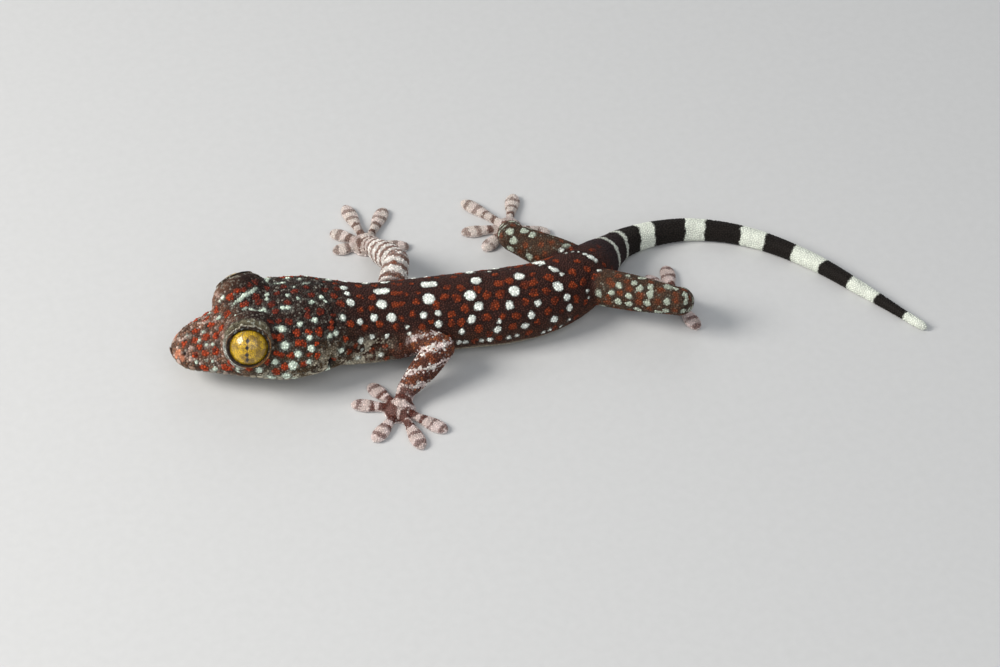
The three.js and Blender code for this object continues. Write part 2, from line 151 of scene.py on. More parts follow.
# Pale lines, each as places in order with one radius
STREAKS = [
    ([(7.7, -9), (8.7, -9), (9.2, -11), (9.7, -12), (10.3, -14), (10.8, -17)], 0.13),
    ([(8.6, -1), (9.2, -1), (9.7, 3), (10.1, 6), (10.7, 9), (11.2, 7), (11.4, 12)], 0.07),
    ([(12.6, -28), (13.8, -26), (14.4, -25)], 0.1), ([(16.5, -19), (17.2, -20), (18.6, -19)], 0.1),
    ([(36.2, -29), (38.6, -27), (41.2, -25)], 0.16),
]
RUST_HEAD = [
    (1.7, 22, 0.34), (2.8, 22, 0.31), (2.8, 56, 0.28), (3.2, 2, 0.36), (3.4, 39, 0.3), (3.5, 93, 0.43),
    (3.9, 54, 0.36), (4.3, 21, 0.4), (4.6, -20, 0.3), (5.1, 1, 0.36), (5.1, 53, 0.41), (5.3, 26, 0.38),
    (5.9, -25, 0.38), (5.9, 86, 0.4), (6.5, 86, 0.36), (6.2, 15, 0.4), (6.5, 68, 0.4), (7.1, -6, 0.41),
    (7.6, -14, 0.42), (8.5, -15, 0.31), (8.8, -6, 0.26), (9.3, -15, 0.31), (9.4, -6, 0.26),
    (9.4, 117, 0.26), (10.1, -18, 0.35), (10.5, 68, 0.38), (10.6, -11, 0.4), (10.8, -22, 0.35),
    (10.8, -4, 0.46), (11.1, -25, 0.28), (11.3, 87, 0.36), (11.6, 25, 0.36), (11.6, 40, 0.26),
    (11.6, 60, 0.36), (12.1, -22, 0.38), (12.2, 3, 0.46), (12.2, 64, 0.36), (12.3, 42, 0.42),
    (12.4, 13, 0.36), (12.4, 81, 0.36), (12.5, 25, 0.36), (13.1, -10, 0.36), (13.2, 66, 0.4),
    (13.6, 28, 0.46), (14.0, 6, 0.41), (14.1, -18, 0.34), (14.2, 53, 0.34), (14.3, 42, 0.48),
    (14.4, 81, 0.36), (14.7, 55, 0.34), (15.1, 70, 0.34), (15.2, -8, 0.4), (15.5, 43, 0.34),
    (15.8, 26, 0.41), (16.0, 18, 0.28), (16.1, 74, 0.28), (16.2, 59, 0.26), (16.7, -12, 0.36),
    (16.7, 46, 0.46), (16.9, 1, 0.4), (17.4, 24, 0.5), (18.0, 90, 0.31), (18.1, 44, 0.31), (18.4, 38, 0.31),
    (18.7, -8, 0.42), (18.8, 31, 0.29), (20.0, 15, 0.48), (20.2, -11, 0.36),
]
RUST_BODY = [
    (20.7, 44, 0.48), (20.9, 79, 0.29), (22.4, 27, 0.36), (22.4, 54, 0.46), (22.7, 2, 0.38),
    (23.0, 94, 0.36), (24.1, 4, 0.41), (24.3, 50, 0.43), (24.8, 86, 0.31), (26.3, 56, 0.46),
    (26.5, 21, 0.41), (27.2, 21, 0.41), (26.7, 0, 0.36), (27.4, 2, 0.36), (28.1, 6, 0.31),
    (26.9, -25, 0.31), (27.6, -21, 0.31), (27.0, 45, 0.34), (28.4, 40, 0.46), (29.1, 22, 0.43),
    (29.3, 60, 0.36), (29.5, 5, 0.31), (30.4, 54, 0.31), (31.2, 27, 0.31), (31.3, 33, 0.41),
    (32.4, 19, 0.46), (32.8, 59, 0.45), (32.9, 46, 0.44), (33.0, 1, 0.42), (33.9, 23, 0.5),
    (34.0, 60, 0.44), (34.6, 6, 0.5), (34.6, 41, 0.5), (35.5, 96, 0.45), (36.1, 72, 0.5), (36.5, 12, 0.5),
    (37.1, 56, 0.52), (37.2, 83, 0.44), (37.5, 24, 0.55), (38.2, 41, 0.55), (38.4, 95, 0.44),
    (38.9, 58, 0.44), (39.0, 25, 0.52), (39.1, 7, 0.55), (39.8, 76, 0.44), (40.3, 60, 0.5), (40.4, 5, 0.52),
    (41.5, 43, 0.5), (41.5, 95, 0.45), (42.0, 16, 0.55), (42.5, 78, 0.44), (42.7, 32, 0.55),
    (43.1, 15, 0.5), (43.7, 65, 0.5), (44.0, 34, 0.5), (44.2, 106, 0.42), (44.6, 51, 0.5), (45.0, 14, 0.55),
    (46.8, 62, 0.46), (47.0, 40, 0.55), (47.8, 78, 0.45), (47.9, 21, 0.55), (48.3, 44, 0.5),
    (49.7, 28, 0.5),
]
SALMON_SNOUT = [(0.6, 60, 0.3), (0.9, 42, 0.36), (1.2, 65, 0.38)]
# Markings of the near thigh and arm, by where the photograph shows them: pixel across, pixel down, radius
PALE_THIGH = [
    (618, 269, 0.42), (628, 272, 0.36), (634, 283, 0.4), (619, 286, 0.42), (611, 293, 0.4),
    (629, 296, 0.42), (647, 303, 0.45), (650, 287, 0.42), (650, 294, 0.42), (649, 276, 0.36),
    (667, 302, 0.42), (666, 311, 0.4), (668, 281, 0.3), (672, 285, 0.32), (676, 289, 0.3), (686, 302, 0.42),
    (685, 294, 0.36), (683, 311, 0.36), (679, 281, 0.34),
]
RUST_THIGH = [
    (627, 281, 0.4), (620, 293, 0.36), (641, 295, 0.44), (612, 285, 0.34), (608, 297, 0.36),
    (661, 290, 0.42), (658, 302, 0.4), (676, 301, 0.4), (675, 311, 0.36), (641, 276, 0.36),
]
RUST_ARM = [
    (411, 381, 0.36), (430, 355, 0.5), (433, 360, 0.4), (420, 364, 0.3), (393, 262, 0.42), (401, 398, 0.34),
]
PALE_JAW = [
    (215, 369, 0.35), (238, 371, 0.33), (260, 371, 0.4), (236, 379, 0.25), (250, 379, 0.25),
    (271, 377, 0.45), (286, 376, 0.5), (294, 378, 0.4), (303, 378, 0.4), (310, 375, 0.4), (328, 369, 0.4),
    (339, 367, 0.35), (348, 363, 0.4), (358, 358, 0.35),
]
RUST_JAW = [(249, 369, 0.4), (276, 372, 0.42), (284, 367, 0.3), (257, 377, 0.3), (193, 372, 0.3)]
# Folds of the skin behind the jaw, as pixels of the photograph
CREASES = [[(352, 343), (345, 352), (338, 360), (331, 368)], [(324, 295), (331, 304), (335, 316), (336, 330)]]
# Bright rings of the tail, start and end behind the snout
TAIL_RINGS = [
    (57.0, 57.6), (59.8, 60.3), (62.8, 65.0), (69.0, 71.5), (76.1, 79.3), (83.2, 87.3), (91.5, 95.6),
    (99.8, 103.5),
]

# Colours as they look on the animal, as screen values
PLUM = (60, 32, 25)
TAIL_PLUM = (44, 28, 30)
FLANK = (80, 50, 34)
RUST = (138, 56, 22)
RUST_HEAD_TONE = (164, 60, 24)
RUST_CROWN = (116, 42, 26)
RUST_DARK = (58, 22, 14)
PALE = (246, 250, 242)
PALE_EDGE = (188, 196, 188)
CROWN = (46, 28, 22)
CHEEK = (84, 66, 44)
SKULL_GREY = (150, 148, 136)
SNOUT = (126, 88, 68)
SNOUT_PALE = (206, 180, 168)
SALMON = (206, 132, 100)
ROSTRAL = (66, 36, 44)
ARM = (96, 58, 45)
FAR_ARM = (140, 112, 102)
ARM_RUST = (148, 84, 48)
LILAC = (212, 194, 190)
BAR_WHITE = (222, 216, 210)
HAND = (200, 182, 176)
FAR_HAND = (206, 194, 186)
FAR_HAND_DARK = (122, 96, 86)
HAND_DARK = (98, 58, 50)
PALM = (92, 46, 36)
TOE_RIM = (232, 220, 216)
LEG = (72, 58, 44)
LEG_PALE = (178, 186, 170)
LEG_RUST = (116, 62, 34)
JAW_GREY = (204, 196, 174)
TAIL_BLACK = (28, 22, 18)
TAIL_PALE = (226, 230, 218)
BELLY = (176, 168, 148)


def linear(colour):
    """Screen values from 0 to 255 as linear light."""
    c = np.asarray(colour, float) / 255
    return np.where(c <= 0.04045, c / 12.92, ((c + 0.055) / 1.055) ** 2.4)


def smooth(x, low, high):
    t = np.clip((x - low) / (high - low), 0, 1)
    return t * t * (3 - 2 * t)


def unit(v):
    return v / np.maximum(np.linalg.norm(v, axis=-1, keepdims=True), 1e-12)


def value_noise(points, scale, seed=0):
    """Smooth noise from 0 to 1 at points in mm, with features about scale mm across."""
    p = np.asarray(points, float) / scale
    cell = np.floor(p).astype(np.int64)
    t = p - cell
    t = t * t * (3 - 2 * t)
    total = np.zeros(len(p))
    for corner in np.ndindex(2, 2, 2):
        c = cell + np.array(corner)
        h = c[:, 0] * 374761393 + c[:, 1] * 668265263 + c[:, 2] * 2147483647 + seed * 1274126177
        h = h & 0xFFFFFFFF
        h = ((h ^ (h >> 13)) * 1103515245) & 0xFFFFFFFF
        h = (h ^ (h >> 16)) & 0xFFFF
        weight = np.prod(np.where(np.array(corner) == 1, t, 1 - t), axis=1)
        total += weight * h / 0xFFFF
    return total


def hermite(t):
    """Shares of the start, the slope there, the end and the slope there, at t from 0 to 1."""
    return 2 * t**3 - 3 * t**2 + 1, t**3 - 2 * t**2 + t, 3 * t**2 - 2 * t**3, t**3 - t**2


def spline(points, per):
    """A uniform Catmull-Rom curve through points, with reflected ends, as a dense list of points."""
    p = np.asarray(points, float)
    p = np.vstack([2 * p[0] - p[1], p, 2 * p[-1] - p[-2]])
    start, start_slope, end, end_slope = hermite(np.linspace(0, 1, per, endpoint=False)[:, None])
    runs = []
    for a, b, c, d in zip(p, p[1:], p[2:], p[3:]):
        runs.append(start * b + start_slope * ((c - a) / 2) + end * c + end_slope * ((d - b) / 2))
    return np.vstack([*runs, p[-2:-1]])


def along(path):
    return np.concatenate([[0], np.cumsum(np.linalg.norm(np.diff(path, axis=0), axis=1))])


def blend(table, column, at):
    """A smooth value of one column of a table whose first column is the place."""
    table = np.asarray(table, float)
    x, y = table[:, 0], table[:, column]
    slope = np.empty(len(x))
    slope[1:-1] = (y[2:] - y[:-2]) / (x[2:] - x[:-2])
    slope[0], slope[-1] = (y[1] - y[0]) / (x[1] - x[0]), (y[-1] - y[-2]) / (x[-1] - x[-2])
    at = np.asarray(at, float)
    i = np.clip(np.searchsorted(x, at, side="left") - 1, 0, len(x) - 2)
    run = x[i + 1] - x[i]
    start, start_slope, end, end_slope = hermite(np.clip((at - x[i]) / run, 0, 1))
    return start * y[i] + start_slope * run * slope[i] + end * y[i + 1] + end_slope * run * slope[i + 1]


body_line = spline(BODY_LINE, 200)
body_at = along(body_line)
body_tangent = unit(np.gradient(body_line, axis=0))
BODY_LENGTH = body_at[-1]


def on_line(at):
    """Points and tailward directions of the body's line at places behind the snout."""
    p = np.stack([np.interp(at, body_at, body_line[:, k]) for k in (0, 1)], -1)
    t = unit(np.stack([np.interp(at, body_at, body_tangent[:, k]) for k in (0, 1)], -1))
    return p, t


def left_of(tangent):
    """The direction to the animal's left of a tailward direction."""
    return np.stack([tangent[..., 1], -tangent[..., 0]], -1)


def squared(value):
    return np.sign(value) * np.abs(value) ** (2 / SQUARENESS)


def rounding(at):
    """How far the body is drawn in at the tips of the snout and the tail, as a share of its section."""
    share = 1.0
    for run, length in ((at, SNOUT_ROUNDING), (BODY_LENGTH - at, TAIL_ROUNDING)):
        share = share * np.sqrt(np.maximum(1 - (1 - np.minimum(run / length, 1)) ** 2, 0.01))
    return share


def section(at):
    """Half width, heights of the back and the underside, and height where the body is widest."""
    half, back, under = (blend(SECTIONS, column, at) for column in (HALF, BACK, UNDER))
    return half, back, under, under + WIDEST_AT * (back - under)


def body_surface(at, degrees):
    """Points on the body's sections: degrees go round from the middle of the back to the left side."""
    at, degrees = np.broadcast_arrays(np.asarray(at, float), np.asarray(degrees, float))
    p, t = on_line(at)
    half, back, under, widest = section(at)
    turn = np.radians(degrees)
    up = squared(np.cos(turn))
    taper = HEAD_TAPER * (1 - smooth(at, 16, 26))
    aside = squared(np.sin(turn)) * (1 - taper * np.maximum(up, 0)) * half * rounding(at)
    reach = np.where(up > 0, back - widest, widest - under) * rounding(at)
    xy = p + left_of(t) * aside[..., None]
    return np.concatenate([xy, (widest + up * reach)[..., None]], -1)


def body_place(points):
    """Where points lie: place behind the snout, degrees round, and above 1 how far outside the section."""
    tree = KDTree(len(body_line[::4]))
    for i, (x, y) in enumerate(body_line[::4]):
        tree.insert((x, y, 0), i)
    tree.balance()
    k = np.array([tree.find((x, y, 0))[1] for x, y in points[:, :2]]) * 4
    tangent = body_tangent[k]
    off = points[:, :2] - body_line[k]
    at = body_at[k] + np.einsum("ij,ij->i", off, tangent)
    aside = off[:, 0] * tangent[:, 1] - off[:, 1] * tangent[:, 0]
    inner = np.clip(at, 0, BODY_LENGTH)
    half, back, under, widest = section(inner)
    reach = np.where(points[:, 2] > widest, back - widest, widest - under)
    side, rise = aside / half, (points[:, 2] - widest) / reach
    outside = (np.abs(side) ** SQUARENESS + np.abs(rise) ** SQUARENESS) ** (1 / SQUARENESS)
    return at, np.degrees(np.arctan2(side, rise)), outside


# Meshes
def tube_faces(count, around):
    """Four-sided faces between neighbouring rings."""
    i, j = np.meshgrid(np.arange(count - 1) * around, np.arange(around), indexing="ij")
    k = (j + 1) % around
    return np.stack([i + j, i + k, i + around + k, i + around + j], -1).reshape(-1, 4)


def tube(rings):
    """Vertices and faces of a closed tube through rings, shape (rings, around, 3)."""
    count, around = rings.shape[:2]
    verts = np.vstack([rings.reshape(-1, 3), rings[0].mean(0), rings[-1].mean(0)])
    j = np.arange(around)
    k = (j + 1) % around
    tip, end = np.full(around, count * around), (count - 1) * around
    caps = [np.stack([tip, k, j, j], -1), np.stack([tip + 1, end + j, end + k, end + k], -1)]
    return verts, np.vstack([tube_faces(count, around), *caps])


def sphere_rings(down, across, pole):
    """Rings of a ball of radius 1, the first round the pole at height pole, which is 1 or -1."""
    lat = np.linspace(0, np.pi, down + 1)[1:-1, None]
    lon = np.linspace(0, 2 * np.pi, across, endpoint=False)
    flat = np.ones(across)
    return np.stack([np.sin(lat) * np.cos(lon), np.sin(lat) * np.sin(lon), pole * np.cos(lat) * flat], -1)


def balls(centres, radii, across=20, down=12):
    """Many ellipsoids as one mesh: radii has three half axes for each centre, along world axes."""
    one, faces = tube(sphere_rings(down, across, -1))
    one[-2], one[-1] = (0, 0, -1), (0, 0, 1)
    verts = centres[:, None, :] + one[None] * radii[:, None, :]
    shift = (np.arange(len(centres)) * len(one))[:, None, None]
    return verts.reshape(-1, 3), (faces[None] + shift).reshape(-1, 4)


def join(pieces):
    verts, faces, start = [], [], 0
    for v, f in pieces:
        verts.append(v)
        faces.append(f + start)
        start += len(v)
    return np.vstack(verts), np.vstack(faces)


def make_mesh(name, verts, faces, scale=MM):
    """A mesh from arrays. A four-sided face that repeats its last corner becomes a triangle."""
    mesh = bpy.data.meshes.new(name)
    faces = np.asarray(faces, np.int32)
    keep = np.ones(faces.shape, bool)
    keep[:, 3] = faces[:, 2] != faces[:, 3]
    loops = faces[keep]
    starts = np.concatenate([[0], np.cumsum(keep.sum(1))[:-1]])
    mesh.vertices.add(len(verts))
    mesh.vertices.foreach_set("co", (np.asarray(verts, np.float32) * scale).ravel())
    mesh.loops.add(len(loops))
    mesh.loops.foreach_set("vertex_index", loops)
    mesh.polygons.add(len(faces))
    mesh.polygons.foreach_set("loop_start", starts.astype(np.int32))
    mesh.polygons.foreach_set("use_smooth", np.ones(len(faces), bool))
    mesh.update(calc_edges=True)
    return mesh


def place_object(name, data):
    made = bpy.data.objects.new(name, data)
    bpy.context.scene.collection.objects.link(made)
    return made


def placing(x, y, z, centre):
    """The matrix that puts a thing at a centre in mm, with its axes along x, y and z."""
    turned = np.column_stack([x, y, z, np.asarray(centre) * MM])
    return Matrix([*turned.tolist(), (0, 0, 0, 1)])


def make_piece(name, verts, faces, material, colours=None):
    """A piece of the animal, with a colour at each vertex where they are given."""
    mesh = make_mesh(name, verts, faces)
    if colours is not None:
        layer = mesh.color_attributes.new("marking", "FLOAT_COLOR", "POINT")
        layer.data.foreach_set("color", np.insert(colours, 3, 1, axis=1).astype(np.float32).ravel())
    mesh.materials.append(material)
    piece = place_object(name, mesh)
    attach(piece, "root")
    return piece


def evaluated(obj):
    """Vertices and corners of the faces of an object with its modifiers."""
    shown = obj.evaluated_get(bpy.context.evaluated_depsgraph_get())
    mesh = shown.to_mesh()
    verts = np.empty(len(mesh.vertices) * 3, np.float32)
    mesh.vertices.foreach_get("co", verts)
    corners = np.empty(len(mesh.loops), np.int32)
    mesh.loops.foreach_get("vertex_index", corners)
    shown.to_mesh_clear()
    return verts.reshape(-1, 3).astype(float), corners


def ridge(x, width):
    """A smooth ridge, 1 where x is 0 and falling away over the width."""
    return np.exp(-((x / width) ** 2))


def vertex_normals(verts, quads):
    a, b, c, d = (verts[quads[:, k]] for k in range(4))
    n = np.cross(c - a, d - b)
    total = np.zeros_like(verts)
    for k in range(4):
        np.add.at(total, quads[:, k], n)
    return unit(total)


# The skin's forms
def eye_frame(side):
    """The eyeball's centre, the way it looks, and the directions across and up its opening."""
    p, t = on_line(np.array([EYE_AT]))
    left, tailward = np.array([*left_of(t)[0], 0]), np.array([*t[0], 0])
    centre = np.array([*p[0], EYE_HEIGHT]) + left * side * EYE_ASIDE
    out = unit(-tailward * EYE_LOOKS[0] + left * side * EYE_LOOKS[1] + np.array([0, 0, EYE_LOOKS[2]]))
    across = unit(tailward - out * (tailward @ out))
    up = np.cross(across, out) * (1 if np.cross(across, out)[2] > 0 else -1)
    return centre, out, across, up


def limb_paths(name):
    """The middle line of a limb from its root to its sole, with the radius along it."""
    joints, sole, _ = LIMBS[name]
    upper, lower = LIMB_RADII[name.split("_")[1]]
    root, bend, ankle = (np.array(j, float) for j in joints)
    points, radii = [], []
    for start, end, radius in ((root, bend, upper), (bend, ankle, lower)):
        t = np.linspace(0, 1, 40)
        points.append(start + (end - start) * t[:, None])
        radii.append(blend([(0, radius[0]), (0.5, radius[1]), (1, radius[2])], 1, t))
    t = np.linspace(0, 1, 14)
    palm = np.array([*sole, 0.55])
    points.append(ankle + (palm - ankle) * t[:, None])
    radii.append(lower[2] + (0.95 - lower[2]) * t)
    return np.vstack(points), np.concatenate(radii)


def toe_line(sole, degrees, length, share, height):
    """Points along a toe at shares of its length, at the given heights."""
    turn = math.radians(degrees)
    x, y = sole[0] + math.cos(turn) * share * length, sole[1] + math.sin(turn) * share * length
    return np.stack([x, y, height], -1)


def toe_balls(sole, degrees, length):
    t = np.linspace(0, 0.97, 56)
    half, height = blend(TOE, 1, t), blend(TOE, 2, t)
    radii = np.stack([half, half, height / 2 + 0.12], -1)
    return balls(toe_line(sole, degrees, length, t, height / 2), radii, 16, 8)


def neck_fold(side):
    """The loose skin along one side of the neck."""
    aside, thick = FOLD[side]
    share = np.linspace(-0.98, 0.98, 60)
    p, t = on_line(FOLD_AT + share * FOLD_REACH)
    centres = np.column_stack([p + left_of(t) * side * aside, np.full(len(share), FOLD_HEIGHT)])
    radius = thick * np.sqrt(1 - share**2)
    return balls(centres, np.stack([radius, radius, radius * 0.92], 1))


def skin_forms():
    at = np.concatenate([[0.03, 0.12, 0.25], np.arange(0.45, BODY_LENGTH - 0.05, 0.35), [BODY_LENGTH - 0.02]])
    degrees = np.linspace(0, 360, 88, endpoint=False)
    pieces = [tube(body_surface(at[:, None], degrees[None, :]))]
    for side in (1, -1):
        centre, out, _, _ = eye_frame(side)
        brow = centre - out * BROW_SET_BACK
        pieces.append(balls(brow[None], np.full((1, 3), BROW_RADIUS), 56, 36))
        p, t = on_line(TEMPLE_AT)
        temple = np.array([*(p + left_of(t) * side * TEMPLE_ASIDE), TEMPLE_HEIGHT])
        pieces.append(balls(temple[None], np.array([TEMPLE_RADII]), 56, 36))
        pieces.append(neck_fold(side))
    for name, (_, sole, toes) in LIMBS.items():
        points, radii = limb_paths(name)
        pieces.append(balls(points, np.repeat(radii[:, None], 3, 1)))
        sole_radii = np.array([[SOLE_RADIUS, SOLE_RADIUS, SOLE_HEIGHT]])
        pieces.append(balls(np.array([[*sole, 0.1]]), sole_radii, 32, 20))
        pieces.extend(toe_balls(sole, *toe) for toe in toes)
    return join(pieces)


VOXEL = 0.16


def one_skin():
    """The forms fused into one even skin and smoothed, in mm."""
    rough = place_object("forms", make_mesh("forms", *skin_forms(), scale=1))
    remesh = rough.modifiers.new("fuse", "REMESH")
    remesh.mode = "VOXEL"
    remesh.voxel_size = VOXEL
    relax = rough.modifiers.new("relax", "SMOOTH")
    relax.factor = 0.5
    relax.iterations = 5
    verts, corners = evaluated(rough)
    bpy.data.objects.remove(rough)
    return verts, corners.reshape(-1, 4)


def mouth_height(at):
    t = np.clip(at / MOUTH_CORNER, 0, 1)
    dip = MOUTH_CORNER_HEIGHT - 2 * MOUTH_SAG
    return (1 - t) ** 2 * MOUTH_FRONT + 2 * t * (1 - t) * dip + t**2 * MOUTH_CORNER_HEIGHT


def opening(side):
    """How far a side's lids are open, as a share of the near eye's."""
    return 1.0 if side > 0 else FAR_OPENING


def in_eye(points, side):
    """Points in the eye's own axes: across, up and out, with how far they are as a share of the opening."""
    centre, out, across, up = eye_frame(side)
    local = (points - centre) @ np.stack([across, up, out], 1)
    share = np.hypot(local[:, 0] / APERTURE[0], local[:, 1] / APERTURE[1]) / opening(side)
    return local, share


# Numbers that describe a place on the animal
def limb_samples():
    """Points along limbs and toes: place, radius, limb's number, run from the root, toe's share or -1."""
    rows = []
    toe_share = np.linspace(0.25, 1, 30)
    for number, (name, (_, sole, toes)) in enumerate(LIMBS.items()):
        points, radii = limb_paths(name)
        run = along(points)
        parts = [(points, radii, run, np.full(len(run), -1.0))]
        for degrees, length in toes:
            place = toe_line(sole, degrees, length, toe_share, np.full(len(toe_share), 0.4))
            parts.append((place, np.ones(len(toe_share)), run[-1] + toe_share * length, toe_share))
        for place, radius, far, share in parts:
            rows.append(np.column_stack([place, radius, np.full(len(far), number), far, share]))
    return np.vstack(rows)


LIMB_TABLE = limb_samples()
ANKLE_RUNS = np.array([along(np.array(joints))[-1] for joints, _, _ in LIMBS.values()])
limb_tree = KDTree(len(LIMB_TABLE))
for row_number, row in enumerate(LIMB_TABLE):
    limb_tree.insert(row[:3], row_number)
limb_tree.balance()


def describe(points):
    """Everything the markings need to know about points on the skin."""
    at, degrees, outside = body_place(points)
    found = [limb_tree.find(p) for p in points]
    index = np.array([f[1] for f in found])
    gap = np.array([f[2] for f in found])
    near = LIMB_TABLE[index]
    on_limb = smooth(outside, 1.02, 1.22) * (gap < near[:, 3] * 1.5 + 0.35) * (at > 12)
    return {
        "p": points, "at": at, "degrees": degrees, "on_limb": on_limb,
        "limb": near[:, 4].astype(int), "run": near[:, 5], "toe": near[:, 6],
    }


def mix(a, b, share):
    share = np.clip(np.asarray(share, float), 0, 1)[..., None]
    return a * (1 - share) + b * share


def paint(base, colour, share):
    return mix(base, linear(colour), share)


def mirrored(marks):
    """The marks seen on the left side, and a like set on the right."""
    out = []
    for at, degrees, radius in marks:
        out.append((at, degrees, radius))
        if degrees > 30:
            moved_at, moved_round = at + rng.uniform(-0.35, 0.35), -degrees + rng.uniform(-4, 4)
            out.append((moved_at, moved_round, radius * rng.uniform(0.9, 1.1)))
    return out


def streak_marks():
    """The pale lines as rows of close marks."""
    marks = []
    for places, radius in STREAKS:
        for start, end in zip(places, places[1:]):
            for t in (0, 0.25, 0.5, 0.75, 1):
                marks.append((*(a + (b - a) * t for a, b in zip(start, end)), radius))
    return marks


def mark_places(marks, tree):
    """Where marks fall on the skin, as points with radii."""
    places = []
    for at, degrees, radius in marks:
        here = np.array([at])
        p, t = on_line(here)
        half, back, under, widest = (float(value[0]) for value in section(here))
        turn = math.radians(degrees)
        reach = back - widest if math.cos(turn) > 0 else widest - under
        aside, rise = math.sin(turn) * half, math.cos(turn) * reach
        start = Vector((*p[0], widest))
        way = Vector((*left_of(t)[0] * aside, rise))
        hit, _, _, distance = tree.ray_cast(start, way)
        if hit is not None and distance < way.length * 1.6 + 1.2:
            places.append([*hit, radius])
    return np.array(places)


def seen_place(across, down, tree):
    """The point of the skin that the photograph shows at a pixel."""
    aim = (cam_right * (across - WIDTH / 2) - cam_up * (down - HEIGHT / 2)) * PIXEL - cam_back * DISTANCE
    return tree.ray_cast(Vector(cam_place), Vector(aim))[0]


def seen_places(marks, tree):
    found = [(seen_place(across, down, tree), radius) for across, down, radius in marks]
    return np.array([[*hit, radius] for hit, radius in found if hit is not None])


def fill_in(candidates, taken, clear, gap):
    """Candidates that keep clear of the marks already there and apart from each other."""
    chosen = np.empty((0, 3))
    for p in candidates:
        if (np.linalg.norm(taken[:, :3] - p, axis=1) - taken[:, 3] < clear).any():
            continue
        if (np.linalg.norm(chosen - p, axis=1) < gap).any():
            continue
        chosen = np.vstack([chosen, p])
    return chosen


def all_marks(verts, d, tree):
    """Every spot on the animal, pale and rust, as points with radii."""
    pale = mark_places(mirrored(PALE_HEAD + PALE_BODY) + streak_marks(), tree)
    pale = np.vstack([pale, seen_places(PALE_JAW, tree)])
    rust = np.vstack([mark_places(mirrored(RUST_HEAD + RUST_BODY), tree), seen_places(RUST_JAW, tree)])
    trunk = (d["at"] > 19) & (d["at"] < 55.5) & (np.abs(d["degrees"]) < 112) & (d["on_limb"] < 0.3)
    trunk = np.flatnonzero(trunk)
    spare = fill_in(verts[rng.permutation(trunk)[:3000]], np.vstack([pale, rust]), 0.68, 1.8)
    more = np.column_stack([spare, rng.uniform(0.3, 0.46, len(spare))])
    pale_limb = seen_places(PALE_THIGH, tree)
    rust_limb = np.vstack([seen_places(RUST_THIGH, tree), seen_places(RUST_ARM, tree)])
    thigh = np.flatnonzero((d["on_limb"] > 0.5) & (d["limb"] >= 2) & (d["toe"] < 0) & (d["run"] < 14))
    spare = fill_in(verts[rng.permutation(thigh)[:2500]], np.vstack([pale_limb, rust_limb, pale]), 0.4, 1.15)
    light, dark = spare[:len(spare) // 2], spare[len(spare) // 2:]
    return {
        "pale": pale, "rust": np.vstack([rust, more]),
        "pale_limb": np.vstack([pale_limb, np.column_stack([light, rng.uniform(0.36, 0.5, len(light))])]),
        "rust_limb": np.vstack([rust_limb, np.column_stack([dark, rng.uniform(0.3, 0.42, len(dark))])]),
        "salmon": mark_places(SALMON_SNOUT + [(a, -b, c) for a, b, c in SALMON_SNOUT], tree),
    }


# How sharply neighbouring marks stay apart, and how many points are worked out at once
MERGING, BATCH = 9.0, 4000


def depth_in(points, marks):
    """How deep points lie inside the nearest mark in mm, below 0 outside."""
    deepest = np.empty(len(points))
    for start in range(0, len(points), BATCH):
        part = points[start:start + BATCH]
        apart = np.sqrt(((part[:, None] - marks[None, :, :3]) ** 2).sum(2))
        inside = marks[None, :, 3] - apart
        most = inside.max(1)
        total = np.exp((inside - most[:, None]) * MERGING).sum(1)
        deepest[start:start + BATCH] = most + np.log(total) / MERGING
    return deepest


